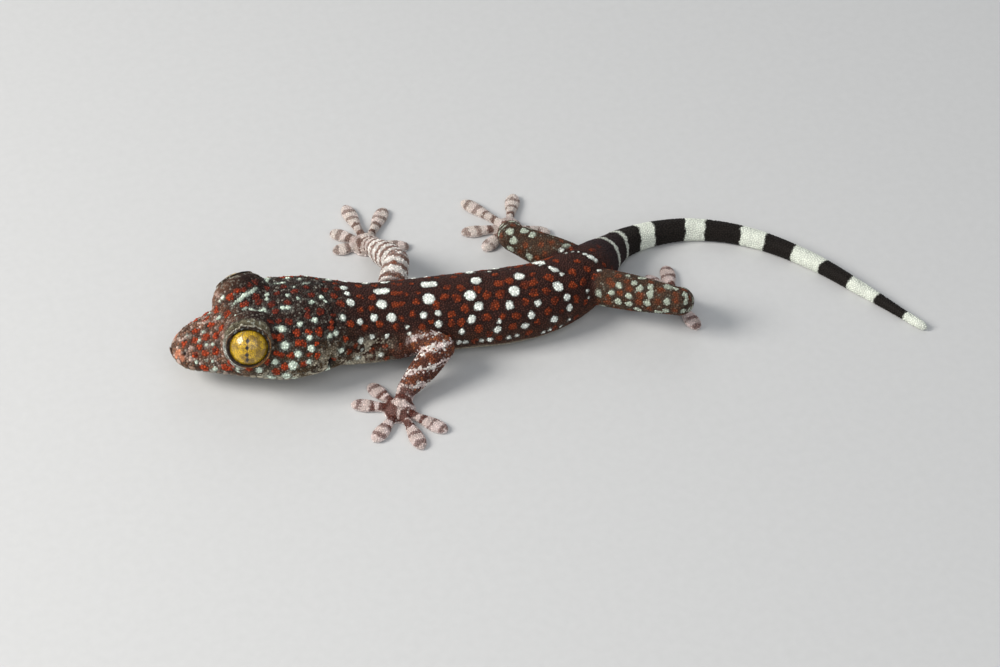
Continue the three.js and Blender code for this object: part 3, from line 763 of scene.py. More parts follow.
def markings(d, marks):
    """The animal's colours in linear light at described points, and how far each stands up as a tubercle."""
    p, at, degrees = d["p"], d["at"], np.abs(d["degrees"])
    coarse, fine, grain = value_noise(p, 2.4, 1), value_noise(p, 0.7, 2), value_noise(p, 0.3, 6)
    salt = value_noise(p, 0.17, 41)
    wobble = (value_noise(p, 0.5, 3) - 0.5) * 0.3
    head = 1 - smooth(at, 17.5, 22.5)
    flank = smooth(degrees, 50, 105)
    ground = mix(linear(PLUM), linear(FLANK), flank * (0.3 + 0.7 * coarse))
    skull = mix(linear(CROWN), linear(CHEEK), smooth(degrees + (coarse - 0.5) * 30, 35, 80))
    skull = paint(skull, SNOUT, (1 - smooth(at, 4.5, 10.0)) * (0.7 + 0.4 * fine))
    skull = paint(skull, SKULL_GREY, smooth(grain, 0.64, 0.88) * 0.5)
    patches = smooth(value_noise(p, 0.42, 12), 0.56, 0.74)
    skull = paint(skull, SNOUT_PALE, patches * (1 - smooth(at, 5.0, 8.0)) * 0.75)
    skull = paint(skull, CROWN, smooth(value_noise(p, 0.55, 8), 0.5, 0.8) * 0.6)
    skull = paint(skull, SKULL_GREY, smooth(salt, 0.64, 0.88) * 0.45)
    # Pale mottling low on the cheek and the side of the neck
    cheek = smooth(degrees, 62 + 16 * (1 - smooth(at, 12, 15)), 96) * smooth(at, 7.5, 10.5)
    skull = paint(skull, JAW_GREY, cheek * smooth(0.55 * fine + 0.45 * salt, 0.42, 0.6) * 0.8)
    neck = smooth(degrees, 58, 88) * (1 - smooth(at, 23, 27))
    ground = paint(ground, JAW_GREY, neck * smooth(0.55 * fine + 0.45 * salt, 0.44, 0.62) * 0.8)
    ground = mix(ground, skull, head) * (0.72 + 0.56 * salt)[:, None]
    rust = depth_in(p, marks["rust"]) + wobble + 0.08 * (1 - smooth(at, 7, 9))
    pale = depth_in(p, marks["pale"]) + wobble * 0.6 - 0.03
    # A soft pale halo on the head and flank, and a dark outline round every spot
    halo = ridge(np.maximum(-pale, 0), 0.3) * (0.4 * head + 0.2 * flank) * smooth(salt, 0.35, 0.65)
    ground = paint(ground, PALE_EDGE, halo * 0.6)
    outline = np.maximum(ridge(rust + 0.13, 0.12), ridge(pale + 0.16, 0.14))
    ground = ground * (1 - 0.4 * outline)[:, None]
    bright = np.maximum(smooth(degrees, 20, 50), 1 - smooth(at, 8, 10))
    rusty = mix(linear(RUST_CROWN), linear(RUST_HEAD_TONE), bright)
    rusty = mix(linear(RUST), rusty, head)
    rusty = paint(rusty, RUST_DARK, smooth(grain, 0.52, 0.75) * 0.85)
    body = mix(ground, rusty, smooth(rust, -0.07, 0.07) * (1 - 0.25 * flank * (1 - head)))
    white = mix(linear(PALE_EDGE), linear(PALE), smooth(pale, 0.0, 0.2))
    white = white * (1 - np.array([0.2, 0.12, 0.2]) * head[:, None])
    body = mix(body, white * (0.86 + 0.2 * grain)[:, None], smooth(pale, -0.03, 0.09))
    body = paint(body, SALMON, smooth(depth_in(p, marks["salmon"]), -0.12, 0.1) * 0.9)
    # Lips, with a dark rim from the snout back
    lip = p[:, 2] - mouth_height(at)
    rim = ridge(lip + 0.15, 0.3) * (1 - smooth(at, 10, 14)) * (0.55 + 0.5 * coarse)
    body = paint(body, ROSTRAL, rim * (1 - smooth(pale, -0.1, 0.05)))
    under = smooth(degrees + (coarse - 0.5) * 20, 112, 130)
    mottles = smooth(value_noise(p, 1.3, 7), 0.55, 0.8)
    low = mix(linear(BELLY), linear(RUST_DARK), 0.55 * mottles * (1 - smooth(degrees, 125, 150)))
    body = mix(body, low, under * 0.92)
    # Tail
    lean = 0.7 * smooth(degrees, 10, 90) * (1 - smooth(at, 58, 72))
    edge = at + (value_noise(p, 0.8, 9) - 0.5) * 0.4 + lean
    ring = np.zeros(len(p))
    for start, end in TAIL_RINGS:
        full = 0.72 if start < 62 else 1.0
        begun, ended = smooth(edge, start - 0.1, start + 0.12), smooth(edge, end - 0.1, end + 0.12)
        ring = np.maximum(ring, full * begun * (1 - ended))
    tail = mix(linear(TAIL_PLUM), linear(TAIL_BLACK), smooth(at, 56, 62))
    tail = paint(tail, TAIL_PALE, ring)
    body = mix(body, tail, smooth(at + (coarse - 0.5) * 2, 52.5, 56) * (1 - smooth(pale, -0.1, 0.05)))
    # Limbs
    run, toe, front = d["run"], d["toe"], d["limb"] < 2
    # Slanting bands on the left arm, as the photograph shows them, and bars across the right one
    slant = ((p @ cam_right) * 0.326 - (p @ cam_up) * 0.945 - 1.0) / 1.8
    band = np.cos((np.where(d["limb"] == 0, slant, run / 1.6) + (coarse - 0.5) * 0.45) * 2 * np.pi)
    band = band + (fine - 0.5) * 0.9 + (salt - 0.5) * np.where(d["limb"] == 0, 3.2, 1.2)
    far_side = (d["limb"] % 2).astype(float)
    white = mix(linear(LILAC), linear(BAR_WHITE), np.maximum(far_side, smooth(fine, 0.4, 0.6)))
    arm = paint(linear(ARM) * np.ones_like(p), RUST_DARK, smooth(grain, 0.45, 0.75) * 0.7)
    arm = paint(arm, ARM_RUST, smooth(value_noise(p, 0.25, 43), 0.52, 0.7) * smooth(coarse, 0.35, 0.6) * 0.8)
    arm = mix(arm, linear(FAR_ARM), far_side * smooth(run, 1.5, 5.5))
    low_band = 0.25 - 0.75 * far_side
    arm = mix(arm, white, smooth(band, low_band, low_band + 0.5) * smooth(run, 2.2, 3.6))
    arm = paint(arm, HAND_DARK, smooth(grain, 0.62, 0.8) * (0.6 - 0.3 * far_side))
    leg = mix(linear(LEG), linear(FLANK), 0.2 + 0.5 * fine)
    leg = paint(leg, LEG_PALE, smooth(salt, 0.64, 0.88) * 0.25) * (0.75 + 0.5 * grain)[:, None]
    pale_limb, rust_limb = depth_in(p, marks["pale_limb"]) + wobble, depth_in(p, marks["rust_limb"]) + wobble
    leg = leg * (1 - 0.35 * ridge(pale_limb + 0.14, 0.12))[:, None]
    leg = paint(leg, LEG_PALE, smooth(pale_limb, -0.08, 0.1))
    limb = mix(leg, arm, front.astype(float))
    limb = mix(limb, paint(rusty, LEG_RUST, 0.75), smooth(rust_limb + (salt - 0.5) * 0.2, -0.12, 0.12) * 0.85)
    wrist = ANKLE_RUNS[d["limb"]]
    paw = mix(linear(HAND), linear(FAR_HAND), far_side)
    paw = paint(paw, LILAC, smooth(value_noise(p, 0.9, 21), 0.45, 0.65) * (1 - 0.5 * far_side))
    bars = np.sin((run + (coarse - 0.5) * 0.8) * 2 * np.pi / 1.45)
    dark = mix(linear(HAND_DARK), linear(FAR_HAND_DARK), far_side)
    barred = smooth(bars + (fine - 0.5) * 1.1 + (salt - 0.5) * 0.8, 0.25, 0.6)
    paw = mix(paw, dark, barred * np.where(toe > 0.6, 0.7, 0.95))
    palm = (toe < 0.45) & (run > wrist)
    paw = paint(paw, PALM, palm * smooth(value_noise(p, 1.1, 23), 0.42, 0.55) * (0.9 - 0.6 * far_side))
    paw = paint(paw, TOE_RIM, (1 - smooth(p[:, 2] + (salt - 0.5) * 0.2, 0.16, 0.46)) * 0.85)
    limb = mix(limb, paw, np.maximum(smooth(run, wrist - 0.9, wrist + 0.3), (toe >= 0).astype(float)))
    colour = mix(body, limb, d["on_limb"])
    stand = 0.13 * smooth(np.maximum(pale, rust * 0.8), -0.05, 0.35) * (1 - d["on_limb"])
    stand = stand * (1 - 0.6 * smooth(at, 19, 24))
    return colour * (0.9 + 0.2 * fine)[:, None], stand * (1 - under) * (at < 55)


# Fine shaping of the skin: each opening's place behind the snout and degrees round, and its size
EAR_AT, EAR_TURN, EAR_HALF = 17.6, 96, (0.52, 1.05)
NOSTRIL_AT, NOSTRIL_TURN, NOSTRIL_INNER, NOSTRIL_OUTER = 1.35, 52, 0.18, 0.42


def shape_skin(verts, quads):
    """The skin drawn in by the scales' height, with mouth, ears, nostrils, eye hollows and lid seats."""
    normals = vertex_normals(verts, quads)
    d = describe(verts)
    depth = np.where(d["on_limb"] > 0.5, 0.07, 0.11) * np.where(d["toe"] >= 0, 0.6, 1.0)
    verts = verts - normals * depth[:, None]
    at = d["at"]
    # Line of the mouth, round the snout and back to its corner
    gap = verts[:, 2] - mouth_height(at)
    mouth = 1 - smooth(at, MOUTH_CORNER - 0.6, MOUTH_CORNER + 0.5)
    groove = ridge(gap, 0.15) * mouth * (d["on_limb"] < 0.2)
    verts -= normals * (groove * 0.26)[:, None]
    hollow = np.zeros(len(verts))
    for side in (1, -1):
        tangent = np.array([*on_line(np.array([EAR_AT]))[1][0], 0])
        off = verts - body_surface(EAR_AT, EAR_TURN * side)
        share = np.hypot((off @ tangent) / EAR_HALF[0], off[:, 2] / EAR_HALF[1])
        close = (np.linalg.norm(off, axis=1) < 2.2) * (1 - smooth(share, 0.65, 1.05))
        verts -= normals * (close * 0.75)[:, None]
        hollow = np.maximum(hollow, close)
        nostril = body_surface(NOSTRIL_AT, NOSTRIL_TURN * side)
        close = 1 - smooth(np.linalg.norm(verts - nostril, axis=1), NOSTRIL_INNER, NOSTRIL_OUTER)
        verts -= normals * (close * 0.4)[:, None]
        hollow = np.maximum(hollow, close)
        local, share = in_eye(verts, side)
        inside = (share < 1.04) & (local[:, 2] > 0)
        far = np.linalg.norm(local, axis=1, keepdims=True)
        sunk = local / np.maximum(far, 1e-6) * (EYE_RADIUS * 0.86)
        centre, out, across, up = eye_frame(side)
        verts[inside] = (centre + sunk @ np.stack([across, up, out]))[inside]
        # Room for the lid that lies over the brow
        arc, turn, far = lid_place(verts, side)
        under_lid = (far < BROW_RADIUS + 0.1) & (far > BROW_RADIUS - 0.5) & ~inside
        edge = lid_reach(turn)
        sink = 0.12 * under_lid * (1 - smooth(arc, edge - 0.3, edge - 0.08))
        verts += unit(centre - out * BROW_SET_BACK - verts) * sink[:, None]
    verts[:, 2] = np.maximum(verts[:, 2], 0.0)
    return verts, d, np.maximum(groove, hollow)


def crease_depth(points, tree):
    """How deep the folds behind the jaw cut at points, as a share, on the side seen and on the other."""
    line = []
    for pixels in CREASES:
        for (x, y), (next_x, next_y) in zip(pixels, pixels[1:]):
            for t in (0, 0.2, 0.4, 0.6, 0.8):
                line.append(seen_place(x + (next_x - x) * t, y + (next_y - y) * t, tree))
    line = np.array([list(place) for place in line if place is not None])
    at, degrees, _ = body_place(line)
    other = mark_places([(a, -b, 0.0) for a, b in zip(at, degrees)], tree)
    gap = -depth_in(points, np.vstack([np.column_stack([line, np.zeros(len(line))]), other]))
    return ridge(gap, 0.2)


# Eyelids
LID_ROW = 0.165
REAR_ARC, FRONT_ARC, HOOD_ARC = 0.55, 1.15, 2.15
# How far the head's colours come in over the top of each lid, in mm
LID_FADE = {1: 0.35, -1: 1.3}
# Colours of the lid outwards from the opening, above the eye, in front of it, and below and behind it. Above
# the eye the dark band next to the opening is the lid's dark rim and painted shade under the overhanging brow.
HOOD_BANDS = [
    (0.0, (30, 24, 20)), (0.12, (60, 44, 32)), (0.5, (176, 168, 150)), (0.68, (98, 90, 70)),
    (1.1, (122, 116, 96)), (1.4, (96, 88, 72)), (1.6, (70, 54, 42)), (1.9, (64, 40, 30)),
]
FRONT_BANDS = [
    (0.0, (38, 30, 26)), (0.1, (64, 54, 48)), (0.34, (184, 186, 178)), (0.62, (76, 66, 60)),
    (0.76, (166, 170, 164)), (1.1, (104, 94, 84)),
]
REAR_BANDS = [(0.0, (38, 30, 26)), (0.12, (150, 108, 64)), (0.34, (116, 98, 80))]


def lid_weights(turn):
    """How far an angle round the eye is above it, and how far in front of it."""
    above = smooth(np.sin(turn), -0.05, 0.85)
    return above, smooth(-np.cos(turn), 0.05, 0.6) * (1 - above)


def lid_reach(turn):
    """How far the lid goes from the opening's edge, in mm along the brow, by the angle round the eye."""
    above, front = lid_weights(turn)
    return REAR_ARC + (HOOD_ARC - REAR_ARC) * above + (FRONT_ARC - REAR_ARC) * front


def lid_edge(turn, side):
    """How far the opening's edge is from the middle of the eye."""
    long, high = APERTURE
    return opening(side) * long * high / np.hypot(high * np.cos(turn), long * np.sin(turn))


def lid_place(points, side):
    """Of points: arc from the opening's edge, angle round the eye, and how far from the brow's centre."""
    centre, out, across, up = eye_frame(side)
    off = points - (centre - out * BROW_SET_BACK)
    far = np.linalg.norm(off, axis=1)
    turn = np.arctan2(off @ up, off @ across)
    lean = np.arccos(np.clip((off @ out) / np.maximum(far, 1e-6), -1, 1))
    return (lean - np.arcsin(lid_edge(turn, side) / BROW_RADIUS)) * BROW_RADIUS, turn, far


def lid_relief(arc, turn):
    """Height of the lid's rings over the skin round it."""
    above, front = lid_weights(turn)
    bead = 0.1 * ridge(arc - 0.18, 0.13) + 0.07 * smooth(np.sin(turn), -0.1, 0.5) * ridge(arc - 0.1, 0.3)
    furrow = -0.1 * ridge(arc - 0.66, 0.08) * np.maximum(above, front)
    ring = 0.06 * ridge(arc - 0.9, 0.14) * np.maximum(above, front)
    hood = 0.1 * above * smooth(arc, 0.85, 1.2) * (1 - smooth(arc, 1.45, HOOD_ARC))
    return bead + furrow + ring + hood


def lid_point(side, arc, turn, lift=0.0):
    """Points of the lid and their normals, at an arc in mm from the opening's edge and a turn round the eye."""
    centre, out, across, up = eye_frame(side)
    lean = np.arcsin(lid_edge(turn, side) / BROW_RADIUS) + arc / BROW_RADIUS
    way = np.cos(turn)[..., None] * across + np.sin(turn)[..., None] * up
    direction = np.sin(lean)[..., None] * way + np.cos(lean)[..., None] * out
    height = BROW_RADIUS - 0.11 + lid_relief(arc, turn) + lift
    return centre - out * BROW_SET_BACK + direction * height[..., None], direction


def lid_piece(side):
    """A lid as rings: down to the eyeball, over the bead and out under the skin."""
    turn = np.linspace(0, 2 * np.pi, 160, endpoint=False)
    centre, out, across, up = eye_frame(side)
    way = np.cos(turn)[:, None] * across + np.sin(turn)[:, None] * up
    rings, arcs = [], []
    for share, lift in ((0.955, -0.06), (0.975, 0.03), (0.99, 0.14)):
        rho = lid_edge(turn, side) * share
        high = np.sqrt(EYE_RADIUS**2 - rho**2) + lift
        rings.append(centre + way * rho[:, None] + out * high[:, None])
        arcs.append(np.full(len(turn), -0.1))
    for share in np.linspace(0.0, 1.0, 34):
        arc = share * lid_reach(turn)
        lift = np.full(len(turn), -max(share - 0.92, 0) * 2.0)
        rings.append(lid_point(side, arc, turn, lift)[0])
        arcs.append(arc)
    rings = np.array(rings)
    faces = tube_faces(*rings.shape[:2])
    if side < 0:
        faces = faces[:, ::-1]
    return rings.reshape(-1, 3), faces, np.concatenate(arcs), np.tile(turn, len(rings))


def lid_rows(side):
    """Places of the small scales that ring the eye, with normals, arc and turn."""
    rows = []
    row, arc = 0, 0.08
    while arc < HOOD_ARC:
        count = int(2 * np.pi * (APERTURE[0] + APERTURE[1] + arc * 1.6) / 2 / LID_ROW)
        turn = (np.arange(count) + 0.5 * (row % 2)) * 2 * np.pi / count + rng.normal(0, 0.012, count)
        turn = turn[arc < lid_reach(turn) - 0.04]
        arcs = np.full(len(turn), arc)
        rows.append((*lid_point(side, arcs, turn), arcs, turn))
        arc += LID_ROW * 0.88
        row += 1
    return [np.concatenate(column) for column in zip(*rows)]


def banded(arc, bands):
    colour = linear(bands[0][1]) * np.ones((len(arc), 1))
    for start, tone in bands[1:]:
        colour = paint(colour, tone, smooth(arc, start - 0.05, start + 0.05))
    return colour


def lid_colour(points, arc, turn, marks, side):
    """Rings round the eye that run out into the colours of the head."""
    above, front = lid_weights(turn)
    waver = arc + (value_noise(points, 0.5, 31) - 0.5) * (0.08 + 0.5 * above)
    colour = mix(banded(waver, REAR_BANDS), banded(waver, FRONT_BANDS), front)
    colour = mix(colour, banded(waver, HOOD_BANDS), above)
    grain = value_noise(points, 0.19, 33)
    colour = paint(colour * (0.3 + 1.3 * grain)[:, None], PALE_EDGE, smooth(grain, 0.64, 0.85) * 0.5 * above)
    ragged = arc - lid_reach(turn) + (value_noise(points, 0.45, 35) - 0.5) * 0.7 + above * LID_FADE[side]
    return mix(colour, markings(describe(points), marks)[0], smooth(ragged, -0.4, 0.05))


# Scales
def pairs_within(points, radius):
    """Index pairs of points closer than radius."""
    cell = np.floor(points / radius).astype(np.int64)
    cell -= cell.min(0) - 1
    span = cell.max(0) + 2
    key = (cell[:, 0] * span[1] + cell[:, 1]) * span[2] + cell[:, 2]
    order = np.argsort(key, kind="stable")
    ranked = key[order]
    pairs = []
    for step in np.ndindex(3, 3, 3):
        dx, dy, dz = np.array(step) - 1
        shift = (dx * span[1] + dy) * span[2] + dz
        if shift < 0:
            continue
        low = np.searchsorted(ranked, ranked + shift, "left")
        count = np.searchsorted(ranked, ranked + shift, "right") - low
        i = np.repeat(np.arange(len(ranked)), count)
        j = np.arange(count.sum()) - np.repeat(np.cumsum(count) - count, count) + np.repeat(low, count)
        if shift == 0:
            keep = i < j
            i, j = i[keep], j[keep]
        i, j = order[i], order[j]
        way = points[i] - points[j]
        close = np.einsum("ij,ij->i", way, way) < radius**2
        pairs.append(np.stack([i[close], j[close]]))
    return np.hstack(pairs)


def spacing(d):
    """The distance between neighbouring scales, in mm."""
    at, degrees = d["at"], np.abs(d["degrees"])
    body = 0.31 - 0.06 * smooth(at, 3.0, 8.5) - 0.01 * smooth(at, 54, 60)
    body = body + 0.22 * smooth(degrees, 116, 136) * smooth(at, 14, 22) * (1 - smooth(at, 60, 80))
    limb = np.where(d["toe"] >= 0, 0.23, 0.25) + 0.12 * (1 - smooth(d["p"][:, 2], 0.0, 0.25))
    return np.where(d["on_limb"] > 0.5, limb, body)


# The lip plates: from and to behind the snout, how far apart, how wide, and how far from the mouth's line
LIP_START, LIP_END, LIP_STEP, LIP_GAP, LIP_LIFT = 0.75, 12.8, 0.74, 0.7, 0.38


def lip_plates(tree):
    """Middles of the plates along both lips, with their sizes."""
    places = []
    for lift in (LIP_LIFT, -LIP_LIFT):
        p, t = on_line(np.array([1.6]))
        start = Vector((*p[0], float(mouth_height(0.0)) + lift))
        places.append((start, Vector((*-t[0], 0)), 0.95))
        for side in (1, -1):
            for at in np.arange(LIP_START, LIP_END, LIP_STEP):
                p, t = on_line(np.array([at]))
                start = Vector((*p[0], float(mouth_height(at)) + lift))
                places.append((start, Vector((*left_of(t)[0], 0)) * side, LIP_GAP))
    found = [(tree.ray_cast(start, way), size) for start, way, size in places]
    points = np.array([hit[0] for hit, _ in found])
    return points, np.array([hit[2] for hit, _ in found]), np.array([size for _, size in found])


# Darts stay this share of the spacing apart, then are pushed toward a wider one by a share of what it lacks
DART_GAP, PUSH_GAP, PUSH = 0.86, 1.12, 0.22


def scatter(verts, quads, tree, vertex_spacing):
    """Even points over the skin at the wanted spacing: random darts, then pushed apart."""
    a, b, c, e = (verts[quads[:, k]] for k in range(4))
    halves = np.cross(b - a, c - a), np.cross(c - a, e - a)
    area = 0.5 * (np.linalg.norm(halves[0], axis=1) + np.linalg.norm(halves[1], axis=1))
    want = vertex_spacing[quads].mean(1)
    count = area / want**2
    total = int(count.sum() * 3.0)
    face = rng.choice(len(quads), total, p=count / count.sum())
    u, v = rng.random(total)[:, None], rng.random(total)[:, None]
    points = (a[face] * (1 - u) + b[face] * u) * (1 - v) + (e[face] * (1 - u) + c[face] * u) * v
    gap = want[face]
    i, j = pairs_within(points, gap.max() * DART_GAP)
    apart = np.linalg.norm(points[i] - points[j], axis=1)
    close = apart < DART_GAP * np.minimum(gap[i], gap[j])
    i, j = i[close], j[close]
    rank = rng.permutation(total)
    state = np.zeros(total, np.int8)
    for _ in range(24):
        open_pairs = (state[i] == 0) & (state[j] == 0)
        i, j = i[open_pairs], j[open_pairs]
        top = np.zeros(total, np.int64)
        np.maximum.at(top, i, rank[j] + 1)
        np.maximum.at(top, j, rank[i] + 1)
        chosen = (state == 0) & (rank + 1 > top)
        state[chosen] = 1
        out = np.zeros(total, bool)
        out[j[chosen[i]]] = True
        out[i[chosen[j]]] = True
        state[out & (state == 0)] = 2
        if not (state == 0).any():
            break
    points, gap = points[state == 1], gap[state == 1]
    for _ in range(7):
        i, j = pairs_within(points, gap.max() * PUSH_GAP)
        way = points[i] - points[j]
        apart = np.linalg.norm(way, axis=1)
        wanted = 0.5 * (gap[i] + gap[j]) * PUSH_GAP
        push = np.maximum(wanted - apart, 0) * PUSH
        shift = way / np.maximum(apart, 1e-6)[:, None] * push[:, None]
        move = np.zeros_like(points)
        np.add.at(move, i, shift)
        np.add.at(move, j, -shift)
        points = points + move
        found = [tree.find_nearest(p) for p in points]
        points = np.array([f[0] for f in found])
    faces = np.array([f[2] for f in found])
    return points, faces, gap


# A scale's sides, and how many scales one joined piece holds at most
SIDES, PIECE_SCALES = 6, 10500


def painted_gap_shade(colours):
    """How bright the painted shade in the gaps between scales is, as a share of the scales' colour: dark skin
    gets deeper painted shade than pale skin.
    """
    return 0.58 + 0.28 * smooth(colours.mean(1), 0.15, 0.5)


def scale_mesh(points, normals, gap, high, colours, chart, name, material):
    """Low many-sided domes that fill the room between neighbours, in joined pieces."""
    ahead = np.zeros_like(points)
    last = len(body_line) - 1
    k = np.clip((body_place(points)[0] / BODY_LENGTH * last).astype(int), 0, last)
    ahead[:, :2] = body_tangent[k]
    side = unit(np.cross(normals, ahead) + 1e-9)
    ahead = np.cross(side, normals)
    i, j = pairs_within(points, gap.max() * 1.4)
    reach = np.repeat(gap[:, None] * 0.66, SIDES, 1)
    turn = (np.arange(SIDES) + 0.5) * 2 * np.pi / SIDES
    for one, other in ((i, j), (j, i)):
        way = points[other] - points[one]
        far = np.linalg.norm(way, axis=1)
        x, y = np.einsum("ij,ij->i", way, ahead[one]), np.einsum("ij,ij->i", way, side[one])
        for n in range(SIDES):
            facing = (x * math.cos(turn[n]) + y * math.sin(turn[n])) / np.maximum(far, 1e-6)
            share = gap[one] / (gap[one] + gap[other])
            limit = np.where(facing > 0.2, far * share / np.maximum(facing, 0.2), 9.0)
            np.minimum.at(reach[:, n], one, limit)
    ring = ahead[:, None] * np.cos(turn)[None, :, None] + side[:, None] * np.sin(turn)[None, :, None]
    base = points[:, None] + ring * (reach * 0.97)[..., None] - normals[:, None] * 0.05
    shoulder = points[:, None] + ring * (reach * 0.74)[..., None]
    shoulder = shoulder + normals[:, None] * (high * 0.62)[:, None, None]
    top = points + normals * high[:, None] + ahead * (0.06 * gap)[:, None]
    verts = np.concatenate([base, shoulder, top[:, None]], 1)
    verts[..., 2] = np.maximum(verts[..., 2], 0.0)
    n = np.arange(SIDES)
    m = (n + 1) % SIDES
    peak = np.full(SIDES, 2 * SIDES)
    walls, roof = [n, m, m + SIDES, n + SIDES], [n + SIDES, m + SIDES, peak, peak]
    one = np.vstack([np.stack(walls, -1), np.stack(roof, -1)])
    per = 2 * SIDES + 1
    tone = np.repeat(colours[:, None], per, 1)
    # Painted shade: each scale's base ring is darkened where it meets the skin between the scales
    tone[:, :SIDES] *= painted_gap_shade(colours)[:, None, None]
    pieces = []
    chunks = max(1, math.ceil(len(points) / PIECE_SCALES))
    outline = np.stack([np.cos(turn), np.sin(turn)], -1)
    for number, part in enumerate(np.array_split(np.argsort(chart[:, 0], kind="stable"), chunks)):
        faces = (one[None] + (np.arange(len(part)) * per)[:, None, None]).reshape(-1, 4)
        flat_verts, flat_tone = verts[part].reshape(-1, 3), tone[part].reshape(-1, 3)
        piece = make_piece(f"{name}_{number + 1}", flat_verts, faces, material, flat_tone)
        spread = chart[part]
        spread = (spread - spread.min(0)) / np.maximum(np.ptp(spread, axis=0), 1e-6) * 0.98 + 0.01
        local = np.zeros((len(part), per, 2))
        local[:, :SIDES] = 0.0015 * outline
        local[:, SIDES:-1] = 0.0011 * outline
        uv = (spread[:, None] + local).reshape(-1, 2)
        layer = piece.data.uv_layers.new(name="OFBake")
        loops = np.empty(len(piece.data.loops), np.int32)
        piece.data.loops.foreach_get("vertex_index", loops)
        layer.data.foreach_set("uv", uv[loops].astype(np.float32).ravel())
        pieces.append(piece)
    return pieces


# Materials
def feed(tree, node, inputs):
    """Inputs of a node set to values, or linked to the sockets given for them."""
    for key, value in inputs.items():
        if isinstance(value, bpy.types.NodeSocket):
            tree.links.new(value, node.inputs[key])
        else:
            node.inputs[key].default_value = value


def add_node(tree, kind, inputs=None, **settings):
    node = tree.nodes.new(kind)
    for key, value in settings.items():
        setattr(node, key, value)
    feed(tree, node, inputs or {})
    return node


def new_material(name, values):
    """A material with values on its shader, its node tree and its shader."""
    material = bpy.data.materials.new(name)
    material.use_nodes = True
    shader = material.node_tree.nodes["Principled BSDF"]
    feed(material.node_tree, shader, values)
    return material, material.node_tree, shader


def node_material(name, rough, bump_scale, bump_depth, specular=0.3, coat=0.0):
    """Colour from the markings, mottled and roughened by fine noise."""
    values = {"Specular IOR Level": specular, "Coat Weight": coat, "Coat Roughness": 0.3}
    material, tree, shader = new_material(name, values)
    place = add_node(tree, "ShaderNodeTexCoord").outputs["Object"]
    marking = add_node(tree, "ShaderNodeAttribute", attribute_name="marking").outputs["Color"]
    noise = {"Vector": place, "Scale": bump_scale, "Detail": 4}
    grain = add_node(tree, "ShaderNodeTexNoise", noise).outputs["Fac"]
    levels = {"Value": grain, "From Min": 0.3, "From Max": 0.7, "To Min": 0.8, "To Max": 1.15}
    shade = add_node(tree, "ShaderNodeMapRange", levels).outputs["Result"]
    tint = add_node(tree, "ShaderNodeVectorMath", {0: marking, "Scale": shade}, operation="SCALE")
    levels = {"Value": grain, "To Min": rough - 0.1, "To Max": rough + 0.12}
    dull = add_node(tree, "ShaderNodeMapRange", levels).outputs["Result"]
    bump = add_node(tree, "ShaderNodeBump", {"Distance": bump_depth, "Strength": 0.5, "Height": grain})
    looks = {"Base Color": tint.outputs["Vector"], "Roughness": dull, "Normal": bump.outputs["Normal"]}
    feed(tree, shader, looks)
    return material


# The slit's place and lean and its pinholes' heights, in mm, and the eye's colours
SLIT_AHEAD, SLIT_LEAN = -0.03, 0.158
PINHOLES = (0.9, 0.12, -0.72, -1.32)
IRIS_DEEP, IRIS_GOLD, IRIS_LINE = (138, 106, 8), (210, 168, 12), (88, 68, 14)
SEAM_BROWN, RIM_BROWN, PUPIL, EYE_EDGE_SHADE = (96, 70, 22), (92, 60, 22), (8, 6, 6), (48, 34, 18)
# Sockets of the mixing node that take and give colours
MIX_A, MIX_B, MIX_RESULT = 6, 7, 2


